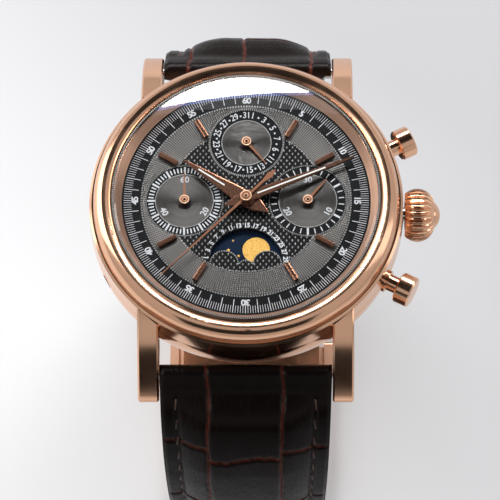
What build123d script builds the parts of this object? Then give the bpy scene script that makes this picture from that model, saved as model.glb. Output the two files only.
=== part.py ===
from build123d import *
import os
from math import acos, cos, degrees, hypot, pi, radians, sin, sqrt

os.makedirs("parts", exist_ok=True)

# A chronograph wristwatch with a moon window, its strap closed in a loop.
# The model stands on its clasp: the origin is the middle of the clasp's flat outer face.
# Every height below, unless it says otherwise, is counted from the dial's upper face.
# X points to the crown, Y to twelve o'clock, Z out of the dial.

# Whole watch
dial_height = 60.0
running_gap = 0.05
overrun = 2.0

# Mid case and lugs
case_radius = 20.0
case_top = -0.3
case_wall_low = -3.0
case_foot_step = 1.4
case_belly_step = 0.28
case_foot_radius = case_radius - case_foot_step
case_foot = -8.5
case_belly_radius = case_radius - case_belly_step
case_belly = -6.2
case_bore = 17.2
case_ledge_bore = 16.4
case_ledge_low = -1.0
case_rim_chamfer = 0.3
lug_gap = 22.0
lug_thickness = 2.65
lug_reach = 23.9
lug_tip_height = -7.2
lug_shoulder = 15.0
lug_shoulder_height = -0.6
lug_back = 19.9
lug_back_height = -3.35
lug_foot_height = -9.6
lug_foot_radius = 0.9
lug_root_height = -7.7
lug_edge_chamfer = 0.22
bar_reach = 21.5
bar_height = -6.3
bar_radius = 0.9
bar_tip_radius = 0.42
bar_tip_length = 1.4
bar_end_gap = 0.1

# Bezel
bezel_radius = 19.45
bezel_shoulder_radius = 19.28
bezel_shoulder_height = 0.85
bezel_crest_radius = 18.35
bezel_crest = 1.72
bezel_lip_radius = 17.9
bezel_lip = 1.68
bezel_groove_radius = 17.45
bezel_groove = 1.5
bezel_bore = 17.05
bezel_rim_top = 1.62
bezel_rim_radius = 17.3

# Crystal, its gasket and the ring below it
crystal_radius = 16.85
crystal_low = 1.1
crystal_edge_top = 1.95
crystal_crown = 3.25
crystal_bevel = 0.3
crystal_hollow = 2.25
crystal_hollow_radius = 15.9
crystal_foot_radius = 16.2
crystal_hollow_edge = 1.4
flange_foot_radius = 15.85
flange_top_radius = 16.75
flange_radius = 17.0
flange_step_radius = 16.35

# Dial
dial_radius = 16.3
dial_thickness = 0.4
dial_bore = 1.1
small_dial_bore = 0.3
side_dial_x = 7.85
top_dial_y = 8.2
side_dial_radius = 5.0
side_dial_disc_radius = 3.73
top_dial_radius = 4.87
top_dial_disc_radius = 3.2
small_dial_depth = 0.1
small_disc_depth = 0.16
window_y = -8.5
window_radius = 4.6
window_sill = -8.8
bump_x = 2.73
bump_radius = 1.78
middle_bump_y = -9.2
middle_bump_radius = 0.9

# Hour markers
marker_inner = 10.25
marker_outer = 12.85
marker_width = 0.6
marker_height = 0.5
marker_flat_width = 0.36
marker_wall_height = 0.45
marker_hours = (1, 2, 4, 5, 7, 8, 10, 11)

# Hands
hour_hand_angle = 304.0
minute_hand_angle = 67.3
stop_hand_angle = 224.7
seconds_hand_angle = -1.0
counter_hand_angle = 39.3
date_hand_angle = 140.6
hour_hand_length = 9.8
hour_hand_tail = 3.4
hour_hand_width = 2.0
hour_hand_widest = 1.5
hour_hand_low = 0.5
minute_hand_length = 14.9
minute_hand_tail = 3.0
minute_hand_width = 1.4
minute_hand_widest = 1.3
minute_hand_low = 0.8
hand_edge = 0.13
hand_flat_share = 0.82
hand_thickness = 0.18
hand_tip_width = 0.16
collar_height = 0.1
minute_collar_radius = 1.1
hour_collar_radius = 1.25
groove_width = 0.21
groove_depth = 0.05
hour_groove_inner = 3.25
hour_groove_outer = 7.4
minute_groove_inner = 1.5
minute_groove_outer = 11.0
stop_hand_length = 15.3
stop_hand_low = 1.1
stop_hand_top = 1.2
stop_hand_width = 0.34
stop_hand_tip_width = 0.12
stop_tail_length = 5.3
stop_tail_neck = 3.1
stop_tail_width = 0.85
stop_tail_widest = 4.35
stop_hub_radius = 0.72
stop_hub_top = 1.5
small_hand_low = 0.18
small_hand_top = 0.3
small_hub_radius = 0.62
small_hub_top = 0.38
small_hand_width = 0.42
small_hand_tip_width = 0.1
small_hand_tail = 0.5
seconds_hand_length = 3.9
counter_hand_length = 3.8
date_hand_length = 4.0

# Arbors through the centre
stop_arbor_radius = 0.27
centre_arbor_bore = 0.32
centre_arbor_radius = 0.48
centre_arbor_top = 0.75
cannon_bore = 0.5
cannon_radius = 0.68
cannon_top = 1.0
hour_pipe_bore = 0.73
hour_pipe_radius = 0.95
small_arbor_radius = 0.14

# Moon disc
moon_disc_x = 0.0
moon_disc_y = -8.6
moon_disc_teeth = 59
moon_disc_radius = 4.9
moon_disc_low = -0.85
moon_disc_top = -0.65
moon_post_radius = 0.4
moon_radius = 1.74
moon_orbit = 2.36
moon_angle = 33.6
figure_thickness = 0.04
star_radius = 0.26
star_waist_share = 0.45

# Movement plates
plate_radius = 15.45
plate_top = -1.4
plate_low = -3.3
plate_rim_inner = 14.7
bridge_low = -6.65
bridge_top = -7.3
bridge_radius = 15.2
bridge_foot_inner = 14.3
bridge_split = 0.2
bridge_line_angle = 53.0
barrel_bridge_edge = -1.9
holder_low = -7.4
cock_width = 3.2
balance_clearance = 0.45
screw_radius = 0.45
screw_head_radius = 0.8
screw_head_height = 0.3
screw_slot = 0.22
screw_circle = 14.2
jewel_radius = 0.6
jewel_height = 0.25

# Going train
barrel_teeth = 78
barrel_module = 0.13
barrel_drum_radius = 4.75
barrel_low = -5.35
barrel_flange_low = -4.0
barrel_top = -3.7
barrel_direction = 57.0
barrel_arbor_radius = 0.6
centre_pinion_teeth = 12
centre_teeth = 80
centre_module = 0.11
centre_wheel_low = -6.1
centre_wheel_top = -5.95
third_pinion_teeth = 10
third_teeth = 75
third_module = 0.1
third_wheel_low = -4.65
third_wheel_top = -4.5
fourth_pinion_teeth = 10
fourth_teeth = 70
fourth_module = 0.09
fourth_wheel_low = -5.5
fourth_wheel_top = -5.35
escape_pinion_teeth = 7
escape_direction = -98.0
escape_teeth = 15
# Where a tooth's front foot and its tip end, as shares of the pitch.
escape_tooth_lean = 0.42
escape_tooth_tip = 0.52
escape_radius = 2.1
escape_root_radius = 1.55
escape_low = -5.15
escape_top = -5.0
arbor_radius = 0.22
pivot_step = 0.15
wheel_rim = 0.5
wheel_hub_radius = 0.75
wheel_spoke = 0.32
wheel_spokes = 5

# Balance and pallet fork
balance_distance = 6.65
balance_direction = -59.1
balance_radius = 3.6
balance_rim = 0.42
balance_low = -6.3
balance_top = -5.9
balance_arm_top = -6.08
balance_arm_width = 0.42
balance_screws = 12
balance_screw_radius = 0.16
balance_screw_reach = 0.15
roller_radius = 0.85
roller_low = -5.45
roller_top = -5.25
pallet_distance = 2.45
pallet_low = -5.2
pallet_top = -4.95
pallet_length = 3.1
pallet_width = 0.3
pallet_arm = 1.55
pallet_stone = 0.25
hairspring_inner = 0.62
hairspring_outer = 2.3
hairspring_turns = 5
hairspring_thickness = 0.07
hairspring_low = -6.6
hairspring_top = -6.42

# Motion works below the dial
motion_module = 0.14
cannon_teeth = 12
minute_wheel_teeth = 36
minute_pinion_teeth = 10
hour_wheel_teeth = 40
motion_direction = -45.0
cannon_teeth_low = -1.36
cannon_teeth_top = -1.1
minute_wheel_low = -1.33
minute_wheel_top = -1.2
hour_wheel_low = -1.0
hour_wheel_top = -0.85

# Calendar and stopwatch wheels
date_teeth = 31
date_radius = 4.3
date_low = -1.3
date_top = -1.12
stop_wheel_teeth = 120
stop_wheel_radius = 4.2
counter_wheel_teeth = 90
counter_wheel_radius = 3.0
upper_wheel_low = -7.75
upper_wheel_top = -7.6
upper_bridge_low = -8.2
upper_bridge_top = -7.9
upper_bridge_width = 2.2
upper_bridge_reach = 12.1
upper_bridge_start = -5.6

# Winding works
stem_height = -4.5
stem_radius = 0.55
stem_inner = 8.95
winding_pinion_inner = 9.35
winding_pinion_outer = 10.75
winding_pinion_radius = 0.98
winding_pinion_teeth = 14
crown_wheel_teeth = 26
ratchet_teeth = 56
ratchet_low = -5.85
ratchet_top = -5.55

# Crown
# Lengths along the stem, the first one counted from the case's flank.
crown_gap = 0.25
crown_widest_depth = 1.65
crown_length = 3.7
crown_knob_length = 0.85
crown_inner = case_radius + crown_gap
crown_widest = crown_inner + crown_widest_depth
crown_outer = crown_inner + crown_length
crown_knob_reach = crown_outer + crown_knob_length
crown_inner_radius = 2.7
crown_radius = 3.4
crown_outer_radius = 1.95
crown_knob_radius = 1.75
crown_flutes = 24
flute_radius = 0.36
flute_flare = 0.5
crown_recess_radius = 1.4
crown_recess_depth = 1.75
crown_seat_depth = 0.9
crown_tube_radius = 1.1
crown_tube_bore = 0.65
crown_tube_stand = 1.0
crown_tube_outer = case_radius + crown_tube_stand
crown_gasket_depth = 0.25
crown_gasket_inner = crown_inner + crown_gasket_depth
crown_gasket_width = 0.4

# Push-pieces
pusher_angle = 27.0
pusher_height = -4.7
pusher_travel_gap = 1.75
pusher_cap_length = 2.05
pusher_outer = case_radius + pusher_travel_gap + pusher_cap_length
pusher_cap_radius = 2.0
pusher_cap_chamfer = 0.18
pusher_stem_radius = 1.06
pusher_inner = 16.6
pusher_tube_radius = 1.45
pusher_tube_stand = 0.32
pusher_tube_outer = case_radius + pusher_tube_stand
corrector_angles = (207.5, 152.5)
corrector_height = -4.6
corrector_radius = 0.9
corrector_inner = 16.95
corrector_sink = 0.4
corrector_outer = case_radius - corrector_sink
corrector_dimple_radius = 0.45

# Case back
back_low = -9.3
back_radius = 18.45
back_window_radius = 12.9
back_glass_radius = 13.5
back_glass_low = -9.0
back_glass_top = -8.35
back_lip_radius = 16.7
back_edge_chamfer = 0.45
back_gasket_low = -8.35
back_gasket_top = -7.95
back_screws = 6
back_screw_circle = 17.85
back_screw_head_radius = 0.42
back_screw_radius = 0.25
screw_slot_share = 0.33
back_screw_head_height = 0.3
back_screw_length = 1.4

# Clasp, heights counted up from its rest face
clasp_half_width = 9.5
cover_thickness = 1.25
cover_edge = 0.5
cover_far_end = 13.0
cover_near_end = 13.4
ear_thickness = 0.55
ear_radius = 1.15
fold_ear_radius = 0.88
clasp_pin_radius = 0.5
pin_reach = 15.2
pin_rise = 2.3
fold_pin_reach = 9.0
fold_pin_rise = 2.2
blade_pin_reach = 10.0
blade_pin_rise = 3.05
blade_thickness = 0.8
blade_low = 1.55
knuckle_radius = 0.85
frame_thickness = 0.85
frame_low = 3.15
blade_knuckle_half = 4.7
knuckle_gap = 0.15
rail_length = 6.4
rail_middle = 2.5
rail_thickness = 1.1
rail_top = 2.95
button_outer = 11.4
button_head_depth = 1.2
button_length = 4.6
button_height = 1.7
button_rise = 1.95
button_stem_length = 3.0
button_stem_height = 0.8
button_inner = 8.95
button_round_share = 0.33

# Strap, in reach from the middle and height above the rest face
strap_width = 21.7
strap_end_width = 17.8
strap_roll_radius = 1.45
strap_pin_roll_radius = 1.4
strap_lining = 1.25
strap_edge = 1.25
strap_hump = 3.2
strap_bar_bore = 0.95
strap_reach = 29.9
strap_rise = dial_height + bar_height
# Reach and rise of the strap's middle line between its two pins, as shares of the two spans.
strap_reach_shares = (0.50, 0.89, 1.0, 0.885, 0.665, 0.36)
strap_rise_shares = (0.955, 0.83, 0.635, 0.385, 0.19, 0.066)
strap_hump_shares = (0.80, 1.0, 0.92, 0.72, 0.6, 0.5)


def save(name, *shapes):
    """Write one node, moved from the dial's frame to the frame with its origin at the clasp."""
    solids = [solid for shape in shapes for solid in shape.solids()]
    piece = solids[0] if len(solids) == 1 else Compound(solids)
    export_step(Pos(0, 0, dial_height) * piece, f"parts/{name}.step")


def rod(radius, low, high, x=0, y=0):
    """A round rod along Z between two heights."""
    low, high = min(low, high), max(low, high)
    at_foot = (Align.CENTER, Align.CENTER, Align.MIN)
    return Pos(x, y, low) * Cylinder(radius, high - low, align=at_foot)


def tube(outer, inner, low, high, x=0, y=0):
    """A round tube along Z between two heights."""
    return rod(outer, low, high, x, y) - rod(inner, low - overrun, high + overrun, x, y)


def side_rod(radius, start, end, y=0, z=0):
    """A round rod along X."""
    at_foot = (Align.CENTER, Align.CENTER, Align.MIN)
    return Pos(start, y, z) * Rot(0, 90, 0) * Cylinder(radius, end - start, align=at_foot)


def side_tube(outer, inner, start, end, y=0, z=0):
    """A round tube along X."""
    return side_rod(outer, start, end, y, z) - side_rod(inner, start - overrun, end + overrun, y, z)


def block(x, y, z):
    """A box between two corners, each axis given as a pair."""
    middle = Pos((x[0] + x[1]) / 2, (y[0] + y[1]) / 2, (z[0] + z[1]) / 2)
    return middle * Box(abs(x[1] - x[0]), abs(y[1] - y[0]), abs(z[1] - z[0]))


def outline(start, *steps):
    """A closed flat face: a step is a point to go straight to, or a pair for an arc."""
    edges = []
    here = start
    for step in steps:
        if isinstance(step[0], tuple):
            edges.append(ThreePointArc(here, step[0], step[1]))
            here = step[1]
        else:
            edges.append(Line(here, step))
            here = step
    if here != start:
        edges.append(Line(here, start))
    return make_face(edges)


def turned(start, *steps):
    """A body of revolution about Z, its section drawn in radius and height."""
    return revolve(Plane.XZ * outline(start, *steps), Axis.Z)


def polar(radius, angle, x=0, y=0):
    """A point at a radius and an angle from X, about a centre."""
    return (x + radius * cos(radians(angle)), y + radius * sin(radians(angle)))


def dial_turn(clock_angle):
    """The turn that brings a piece drawn along Y to an angle counted clockwise from twelve."""
    return Rot(0, 0, -clock_angle)


def sphere_cap_radius(rim_radius, rise):
    """The radius of the sphere that a cap of this rim radius and rise is cut from."""
    return (rim_radius**2 + rise**2) / (2 * rise)


# Gear wheels

tooth_tip_share = 0.85
tooth_root_share = 1.25
tooth_tip_half_share = 0.09
tooth_root_half_share = 0.21


def toothed(teeth, module, low, high, x=0, y=0, tooth_at=0.0):
    """A toothed disc with one tooth's middle at the given direction."""
    pitch_radius = module * teeth / 2
    tip = pitch_radius + tooth_tip_share * module
    root = pitch_radius - tooth_root_share * module
    step = 360 / teeth
    corners = []
    for number in range(teeth):
        middle = tooth_at + number * step
        corners.append(polar(root, middle - tooth_root_half_share * step))
        corners.append(polar(tip, middle - tooth_tip_half_share * step))
        corners.append(polar(tip, middle + tooth_tip_half_share * step))
        corners.append(polar(root, middle + tooth_root_half_share * step))
    flat = make_face(Polyline(*corners, close=True))
    return Pos(x, y, low) * extrude(flat, high - low)


def gap_at(teeth, direction):
    """Where a tooth's middle lies when the gap between two teeth faces the direction."""
    return direction + 180 / teeth


def spoked(wheel, radius, low, high, x, y):
    """The wheel with its web cut away between spokes."""
    ring = tube(radius - wheel_rim, wheel_hub_radius, low - overrun, high + overrun, x, y)
    for number in range(wheel_spokes):
        spoke = block((0, radius), (-wheel_spoke / 2, wheel_spoke / 2), (low - overrun, high + overrun))
        ring -= Pos(x, y, 0) * Rot(0, 0, number * 360 / wheel_spokes) * spoke
    return wheel - ring


# Places of the arbors, worked out from the wheels that mesh

barrel_distance = (barrel_teeth + centre_pinion_teeth) * barrel_module / 2
barrel_x, barrel_y = polar(barrel_distance, barrel_direction)
third_distance = (centre_teeth + third_pinion_teeth) * centre_module / 2
fourth_distance = (third_teeth + fourth_pinion_teeth) * third_module / 2
fourth_x, fourth_y = -side_dial_x, 0
third_x = (fourth_distance**2 - third_distance**2 - side_dial_x**2) / (2 * side_dial_x)
third_y = -sqrt(third_distance**2 - third_x**2)
escape_distance = (fourth_teeth + escape_pinion_teeth) * fourth_module / 2
escape_x, escape_y = polar(escape_distance, escape_direction, fourth_x, fourth_y)
balance_x, balance_y = polar(balance_distance, balance_direction, escape_x, escape_y)
pallet_x, pallet_y = polar(pallet_distance, balance_direction, escape_x, escape_y)
motion_distance = (cannon_teeth + minute_wheel_teeth) * motion_module / 2
motion_x, motion_y = polar(motion_distance, motion_direction)
motion_pinion_module = 2 * motion_distance / (minute_pinion_teeth + hour_wheel_teeth)
crown_wheel_x = side_dial_x
ratchet_distance = hypot(barrel_x - crown_wheel_x, barrel_y)
ratchet_module = 2 * ratchet_distance / (crown_wheel_teeth + ratchet_teeth)
flange_low = case_top
holder_top = case_ledge_low
dial_low = -dial_thickness
rest = -dial_height


# Mid case with its four lugs, milled from one block of rose gold

def lug(side):
    """One lug, on the side of the crown or the other, reaching towards twelve."""
    inner = side * lug_gap / 2
    outer = side * (lug_gap / 2 + lug_thickness)
    foot_start = lug_reach - lug_foot_radius
    flank = outline(
        (case_bore / 2, lug_shoulder_height),
        (lug_shoulder, lug_shoulder_height),
        ((lug_back, lug_back_height), (lug_reach, lug_tip_height)),
        ((lug_reach - lug_foot_radius * (1 - cos(pi / 4)),
          lug_foot_height + lug_foot_radius * (1 - sin(pi / 4))),
         (foot_start, lug_foot_height)),
        (case_foot_radius, lug_root_height),
        (case_bore / 2, lug_root_height),
    )
    solid = extrude(Plane.YZ * flank, abs(outer - inner))
    solid = Pos(min(inner, outer), 0, 0) * solid
    back_edges = solid.edges().filter_by(GeomType.CIRCLE).sort_by(SortBy.LENGTH)[-2:]
    return chamfer(back_edges, lug_edge_chamfer)


def mid_case():
    body = turned(
        (case_bore, case_foot),
        (case_bore, case_ledge_low),
        (case_ledge_bore, case_ledge_low),
        (case_ledge_bore, case_top),
        (case_radius - case_rim_chamfer, case_top),
        (case_radius, case_top - case_rim_chamfer),
        (case_radius, case_wall_low),
        ((case_belly_radius, case_belly), (case_foot_radius, case_foot)),
    )
    upper_lugs = lug(1) + lug(-1)
    lugs = upper_lugs + mirror(upper_lugs, about=Plane.XZ)
    lugs -= rod(case_radius - case_rim_chamfer, case_top + overrun, lug_foot_height - overrun)
    case = body + lugs
    tip_reach = lug_gap / 2 + bar_tip_length + bar_end_gap
    for y in (bar_reach, -bar_reach):
        case -= side_rod(bar_tip_radius + running_gap, -tip_reach, tip_reach, y, bar_height)
    case -= side_rod(crown_tube_radius, case_bore - overrun, case_radius + overrun, 0, stem_height)
    for angle in (pusher_angle, -pusher_angle):
        hole = side_rod(pusher_tube_radius, case_bore - overrun, case_radius + overrun, 0, pusher_height)
        case -= Rot(0, 0, angle) * hole
    for angle in corrector_angles:
        hole = side_rod(corrector_radius + running_gap, case_bore - overrun, case_radius + overrun, 0,
                        corrector_height)
        case -= Rot(0, 0, angle) * hole
    for number in range(back_screws):
        x, y = polar(back_screw_circle, (number + 0.5) * 360 / back_screws)
        screw_top = back_low + back_screw_head_height + back_screw_length
        case -= rod(back_screw_radius, case_foot - overrun, screw_top, x, y)
    return case


save("mid_case", mid_case())

# Bezel, turned: a big round moulding, a groove and a thin rim that holds the crystal
save("bezel", turned(
    (bezel_bore, case_top),
    (bezel_radius, case_top),
    ((bezel_shoulder_radius, bezel_shoulder_height), (bezel_crest_radius, bezel_crest)),
    ((bezel_lip_radius, bezel_lip), (bezel_groove_radius, bezel_groove)),
    (bezel_rim_radius, bezel_rim_top),
    (bezel_bore, bezel_rim_top),
))

# Domed sapphire crystal with a bevelled edge
outer_dome = sphere_cap_radius(crystal_radius, crystal_crown - crystal_edge_top)
inner_dome = sphere_cap_radius(crystal_hollow_radius, crystal_hollow - crystal_hollow_edge)
dome_half = crystal_radius / 2
hollow_half = crystal_hollow_radius / 2
dome_half_height = crystal_crown - outer_dome + sqrt(outer_dome**2 - dome_half**2)
hollow_half_height = crystal_hollow - inner_dome + sqrt(inner_dome**2 - hollow_half**2)
bevel_reach = crystal_radius - crystal_bevel
bevel_height = crystal_crown - outer_dome + sqrt(outer_dome**2 - bevel_reach**2)
save("crystal", turned(
    (0, crystal_hollow),
    ((hollow_half, hollow_half_height), (crystal_hollow_radius, crystal_hollow_edge)),
    (crystal_foot_radius, crystal_low),
    (crystal_radius, crystal_low),
    (crystal_radius, bevel_height - crystal_bevel),
    (bevel_reach, bevel_height),
    ((dome_half, dome_half_height), (0, crystal_crown)),
))

# Brushed ring that stands on the dial's rim and carries the crystal
save("flange_ring", turned(
    (flange_foot_radius, 0),
    (flange_step_radius, 0),
    (flange_step_radius, flange_low),
    (flange_radius, flange_low),
    (flange_radius, crystal_low),
    (flange_top_radius, crystal_low),
))


# Case back with its window, gasket and screws

def back_screw_places():
    return [polar(back_screw_circle, (number + 0.5) * 360 / back_screws) for number in range(back_screws)]


def case_back():
    back = turned(
        (back_window_radius, back_low),
        (back_radius - back_edge_chamfer, back_low),
        (back_radius, back_low + back_edge_chamfer),
        (back_radius, case_foot),
        (case_bore, case_foot),
        (case_bore, back_gasket_low),
        (back_lip_radius, back_gasket_low),
        (back_lip_radius, holder_low),
        (back_lip_radius - (case_bore - back_lip_radius), holder_low),
        (back_lip_radius - (case_bore - back_lip_radius), back_glass_top),
        (back_glass_radius, back_glass_top),
        (back_glass_radius, back_glass_low),
        (back_window_radius, back_glass_low),
    )
    for x, y in back_screw_places():
        back -= rod(back_screw_head_radius, back_low - overrun, back_low + back_screw_head_height, x, y)
        back -= rod(back_screw_radius, back_low - overrun, case_foot + overrun, x, y)
    return back


def back_screw(x, y):
    screw = rod(back_screw_head_radius, back_low, back_low + back_screw_head_height, x, y)
    screw_top = back_low + back_screw_head_height + back_screw_length
    screw += rod(back_screw_radius, back_low + back_screw_head_height, screw_top, x, y)
    slot_half = back_screw_radius * screw_slot_share
    slot = block((x - back_screw_head_radius, x + back_screw_head_radius), (y - slot_half, y + slot_half),
                 (back_low - overrun, back_low + back_screw_head_height / 2))
    return screw - slot


save("case_back", case_back())
save("case_back_glass", rod(back_glass_radius, back_glass_low, back_glass_top))
save("case_gaskets", tube(bezel_bore, crystal_radius, crystal_low, bezel_rim_top),
     tube(case_bore, back_lip_radius, back_gasket_low, back_gasket_top))
save("case_back_screws", *[back_screw(x, y) for x, y in back_screw_places()])

# Ring that centres the movement in the case
holder = tube(case_bore - running_gap, plate_radius, holder_low, holder_top)
holder -= side_rod(crown_tube_radius, plate_radius - overrun, case_bore + overrun, 0, stem_height)
for angle in (pusher_angle, -pusher_angle):
    hole = side_rod(pusher_stem_radius + running_gap, plate_radius - overrun, case_bore + overrun, 0,
                    pusher_height)
    holder -= Rot(0, 0, angle) * hole
for angle in corrector_angles:
    hole = side_rod(corrector_radius + running_gap, plate_radius - overrun, case_bore + overrun, 0,
                    corrector_height)
    holder -= Rot(0, 0, angle) * hole
save("movement_ring", holder)

# Steel tubes in the case wall
crown_tube = side_tube(crown_tube_radius, crown_tube_bore, plate_radius + running_gap, crown_tube_outer, 0,
                       stem_height)
pusher_tube = side_tube(pusher_tube_radius, pusher_stem_radius + running_gap, case_bore, pusher_tube_outer,
                        0, pusher_height)
save("case_tubes", crown_tube, Rot(0, 0, pusher_angle) * pusher_tube,
     Rot(0, 0, -pusher_angle) * pusher_tube)


# Onion crown: a turned bulb with grooves cut along it, a rounded knob, and a recess for the tube

def circle_through(a, b, c):
    """Centre and radius of the circle through three points."""
    d = 2 * (a[0] * (b[1] - c[1]) + b[0] * (c[1] - a[1]) + c[0] * (a[1] - b[1]))
    squares = [p[0]**2 + p[1]**2 for p in (a, b, c)]
    x = (squares[0] * (b[1] - c[1]) + squares[1] * (c[1] - a[1]) + squares[2] * (a[1] - b[1])) / d
    y = (squares[0] * (c[0] - b[0]) + squares[1] * (a[0] - c[0]) + squares[2] * (b[0] - a[0])) / d
    return x, y, hypot(a[0] - x, a[1] - y)


def crown():
    """Drawn along Z as radius and reach, then laid along X."""
    bulb = ((crown_inner_radius, crown_inner), (crown_radius, crown_widest),
            (crown_outer_radius, crown_outer))
    body = turned(
        (0, crown_inner),
        bulb[0],
        (bulb[1], bulb[2]),
        (0, crown_outer),
    )
    radius, height, bend = circle_through(*bulb)
    groove = Pos(radius - flute_flare, 0, height) * Rot(90, 0, 0) * Torus(bend + flute_flare, flute_radius)
    for number in range(crown_flutes):
        body -= Rot(0, 0, number * 360 / crown_flutes) * groove
    knob_bend = sphere_cap_radius(crown_knob_radius, crown_knob_reach - crown_outer)
    knob_half = crown_knob_radius / 2
    knob_half_reach = crown_knob_reach - knob_bend + sqrt(knob_bend**2 - knob_half**2)
    body += turned(
        (0, crown_widest),
        (crown_knob_radius, crown_widest),
        (crown_knob_radius, crown_outer),
        ((knob_half, knob_half_reach), (0, crown_knob_reach)),
    )
    body -= rod(crown_recess_radius, crown_inner - overrun, crown_inner + crown_recess_depth)
    body -= rod(stem_radius, crown_inner, crown_inner + crown_recess_depth + crown_seat_depth)
    return Pos(0, 0, stem_height) * Rot(0, 90, 0) * body


stem_outer = crown_inner + crown_recess_depth + crown_seat_depth
save("crown", crown())
save("winding_stem", side_rod(stem_radius, stem_inner, stem_outer, 0, stem_height))
gasket_outer = crown_gasket_inner + crown_gasket_width
save("crown_gasket", side_tube(crown_recess_radius - running_gap / 2, crown_tube_radius + running_gap / 2,
                               crown_gasket_inner, gasket_outer, 0, stem_height))


# Push-pieces and the small recessed correctors

def pusher(angle):
    cap_start = pusher_outer - pusher_cap_length
    cap = side_rod(pusher_cap_radius, cap_start, pusher_outer, 0, pusher_height)
    cap = chamfer(cap.edges().filter_by(GeomType.CIRCLE), pusher_cap_chamfer)
    piece = cap + side_rod(pusher_stem_radius, pusher_inner, cap_start, 0, pusher_height)
    return Rot(0, 0, angle) * piece


def corrector(angle):
    pin = side_rod(corrector_radius, corrector_inner, corrector_outer, 0, corrector_height)
    pin -= Pos(corrector_outer, 0, corrector_height) * Sphere(corrector_dimple_radius)
    return Rot(0, 0, angle) * pin


save("pusher_upper", pusher(pusher_angle))
save("pusher_lower", pusher(-pusher_angle))
save("moon_corrector", corrector(corrector_angles[0]))
save("date_corrector", corrector(corrector_angles[1]))


# Dial with sunk small dials and the moon window

def dial():
    plate = rod(dial_radius, dial_low, 0)
    plate -= rod(dial_bore, dial_low - overrun, overrun)
    small = ((-side_dial_x, 0, side_dial_radius, side_dial_disc_radius),
             (side_dial_x, 0, side_dial_radius, side_dial_disc_radius),
             (0, top_dial_y, top_dial_radius, top_dial_disc_radius))
    for x, y, radius, disc in small:
        plate -= rod(radius, -small_dial_depth, overrun, x, y)
        plate -= rod(disc, -small_disc_depth, overrun, x, y)
        plate -= rod(small_dial_bore, dial_low - overrun, overrun, x, y)
    window = rod(window_radius, dial_low - overrun, overrun, 0, window_y)
    window -= block((-dial_radius, dial_radius), (window_sill - dial_radius, window_sill),
                    (dial_low - 2 * overrun, 2 * overrun))
    for x in (-bump_x, bump_x):
        window -= rod(bump_radius, dial_low - 2 * overrun, 2 * overrun, x, window_sill)
    window -= rod(middle_bump_radius, dial_low - 2 * overrun, 2 * overrun, 0, middle_bump_y)
    return plate - window


def marker(hour):
    """A faceted baton: an upright wall, two slopes and a narrow flat along its top."""
    half = marker_width / 2
    flat = marker_flat_width / 2
    section = outline((-half, 0), (half, 0), (half, marker_wall_height), (flat, marker_height),
                      (-flat, marker_height), (-half, marker_wall_height))
    baton = extrude(Plane.XZ * section, -(marker_outer - marker_inner))
    return dial_turn(hour * 30) * Pos(0, marker_inner, 0) * baton


save("dial", dial())
save("hour_markers", *[marker(hour) for hour in marker_hours])


# Hands, each drawn along Y and turned to its place

def bevelled(half_widths, low, edge, top):
    """A flat blade with bevelled edges: pairs of reach and half width."""
    points = []
    for reach, half in half_widths:
        points += [(-half, reach, low), (half, reach, low), (-half, reach, low + edge),
                   (half, reach, low + edge)]
        points += [(-half * hand_flat_share, reach, low + top), (half * hand_flat_share, reach, low + top)]
    return ConvexPolyhedron(points)


def dauphine(length, tail, width, widest, low, bore):
    """A hand with a long kite-shaped blade, a short pointed tail and a round hub."""
    tip = hand_tip_width / 2
    front = bevelled(((widest, width / 2), (length, tip)), low, hand_edge, hand_thickness)
    middle = bevelled(((-widest, width / 2), (widest, width / 2)), low, hand_edge, hand_thickness)
    back = bevelled(((-tail, tip), (-widest, width / 2)), low, hand_edge, hand_thickness)
    return front + middle + back - rod(bore, low - overrun, low + overrun)


def groove(start, end, low):
    """The shallow channel along the blade that is filled with pale paint."""
    half = groove_width / 2
    return block((-half, half), (start, end), (low + hand_thickness - groove_depth, low + overrun))


def needle(length, tail, width, low, top, hub_radius, hub_top, bore):
    """A thin flat hand with a round hub."""
    half = width / 2
    tip = small_hand_tip_width / 2
    blade = extrude(outline((-half, -tail), (half, -tail), (half, 0), (tip, length), (-tip, length),
                            (-half, 0)), top - low)
    hand = Pos(0, 0, low) * blade + rod(hub_radius, low, hub_top)
    return hand - rod(bore, low - overrun, top)


hour_groove = groove(hour_groove_inner, hour_groove_outer, hour_hand_low)
minute_groove = groove(minute_groove_inner, minute_groove_outer, minute_hand_low)
hour_hand = dauphine(hour_hand_length, hour_hand_tail, hour_hand_width, hour_hand_widest, hour_hand_low,
                     hour_pipe_radius)
hour_collar = tube(hour_collar_radius, hour_pipe_radius, hour_hand_low, hour_hand_low + collar_height)
minute_hand = dauphine(minute_hand_length, minute_hand_tail, minute_hand_width, minute_hand_widest,
                       minute_hand_low, cannon_radius)
minute_collar = tube(minute_collar_radius, cannon_radius, minute_hand_low, minute_hand_low + collar_height)
save("hour_hand", dial_turn(hour_hand_angle) * (hour_hand + hour_collar - hour_groove))
save("minute_hand", dial_turn(minute_hand_angle) * (minute_hand + minute_collar - minute_groove))


def stop_hand():
    """The central stopwatch hand: a long needle and a tail that swells to a leaf."""
    half = stop_hand_width / 2
    tip = stop_hand_tip_width / 2
    leaf = stop_tail_width / 2
    flat = outline(
        (-tip, stop_hand_length), (-half, 0), (-half, -stop_tail_neck), (-leaf, -stop_tail_widest),
        (-tip, -stop_tail_length), (tip, -stop_tail_length), (leaf, -stop_tail_widest),
        (half, -stop_tail_neck), (half, 0), (tip, stop_hand_length))
    blade = Pos(0, 0, stop_hand_low) * extrude(flat, stop_hand_top - stop_hand_low)
    hand = blade + rod(stop_hub_radius, cannon_top + running_gap, stop_hub_top)
    return hand - rod(stop_arbor_radius, cannon_top - overrun, stop_hand_top)


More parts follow.
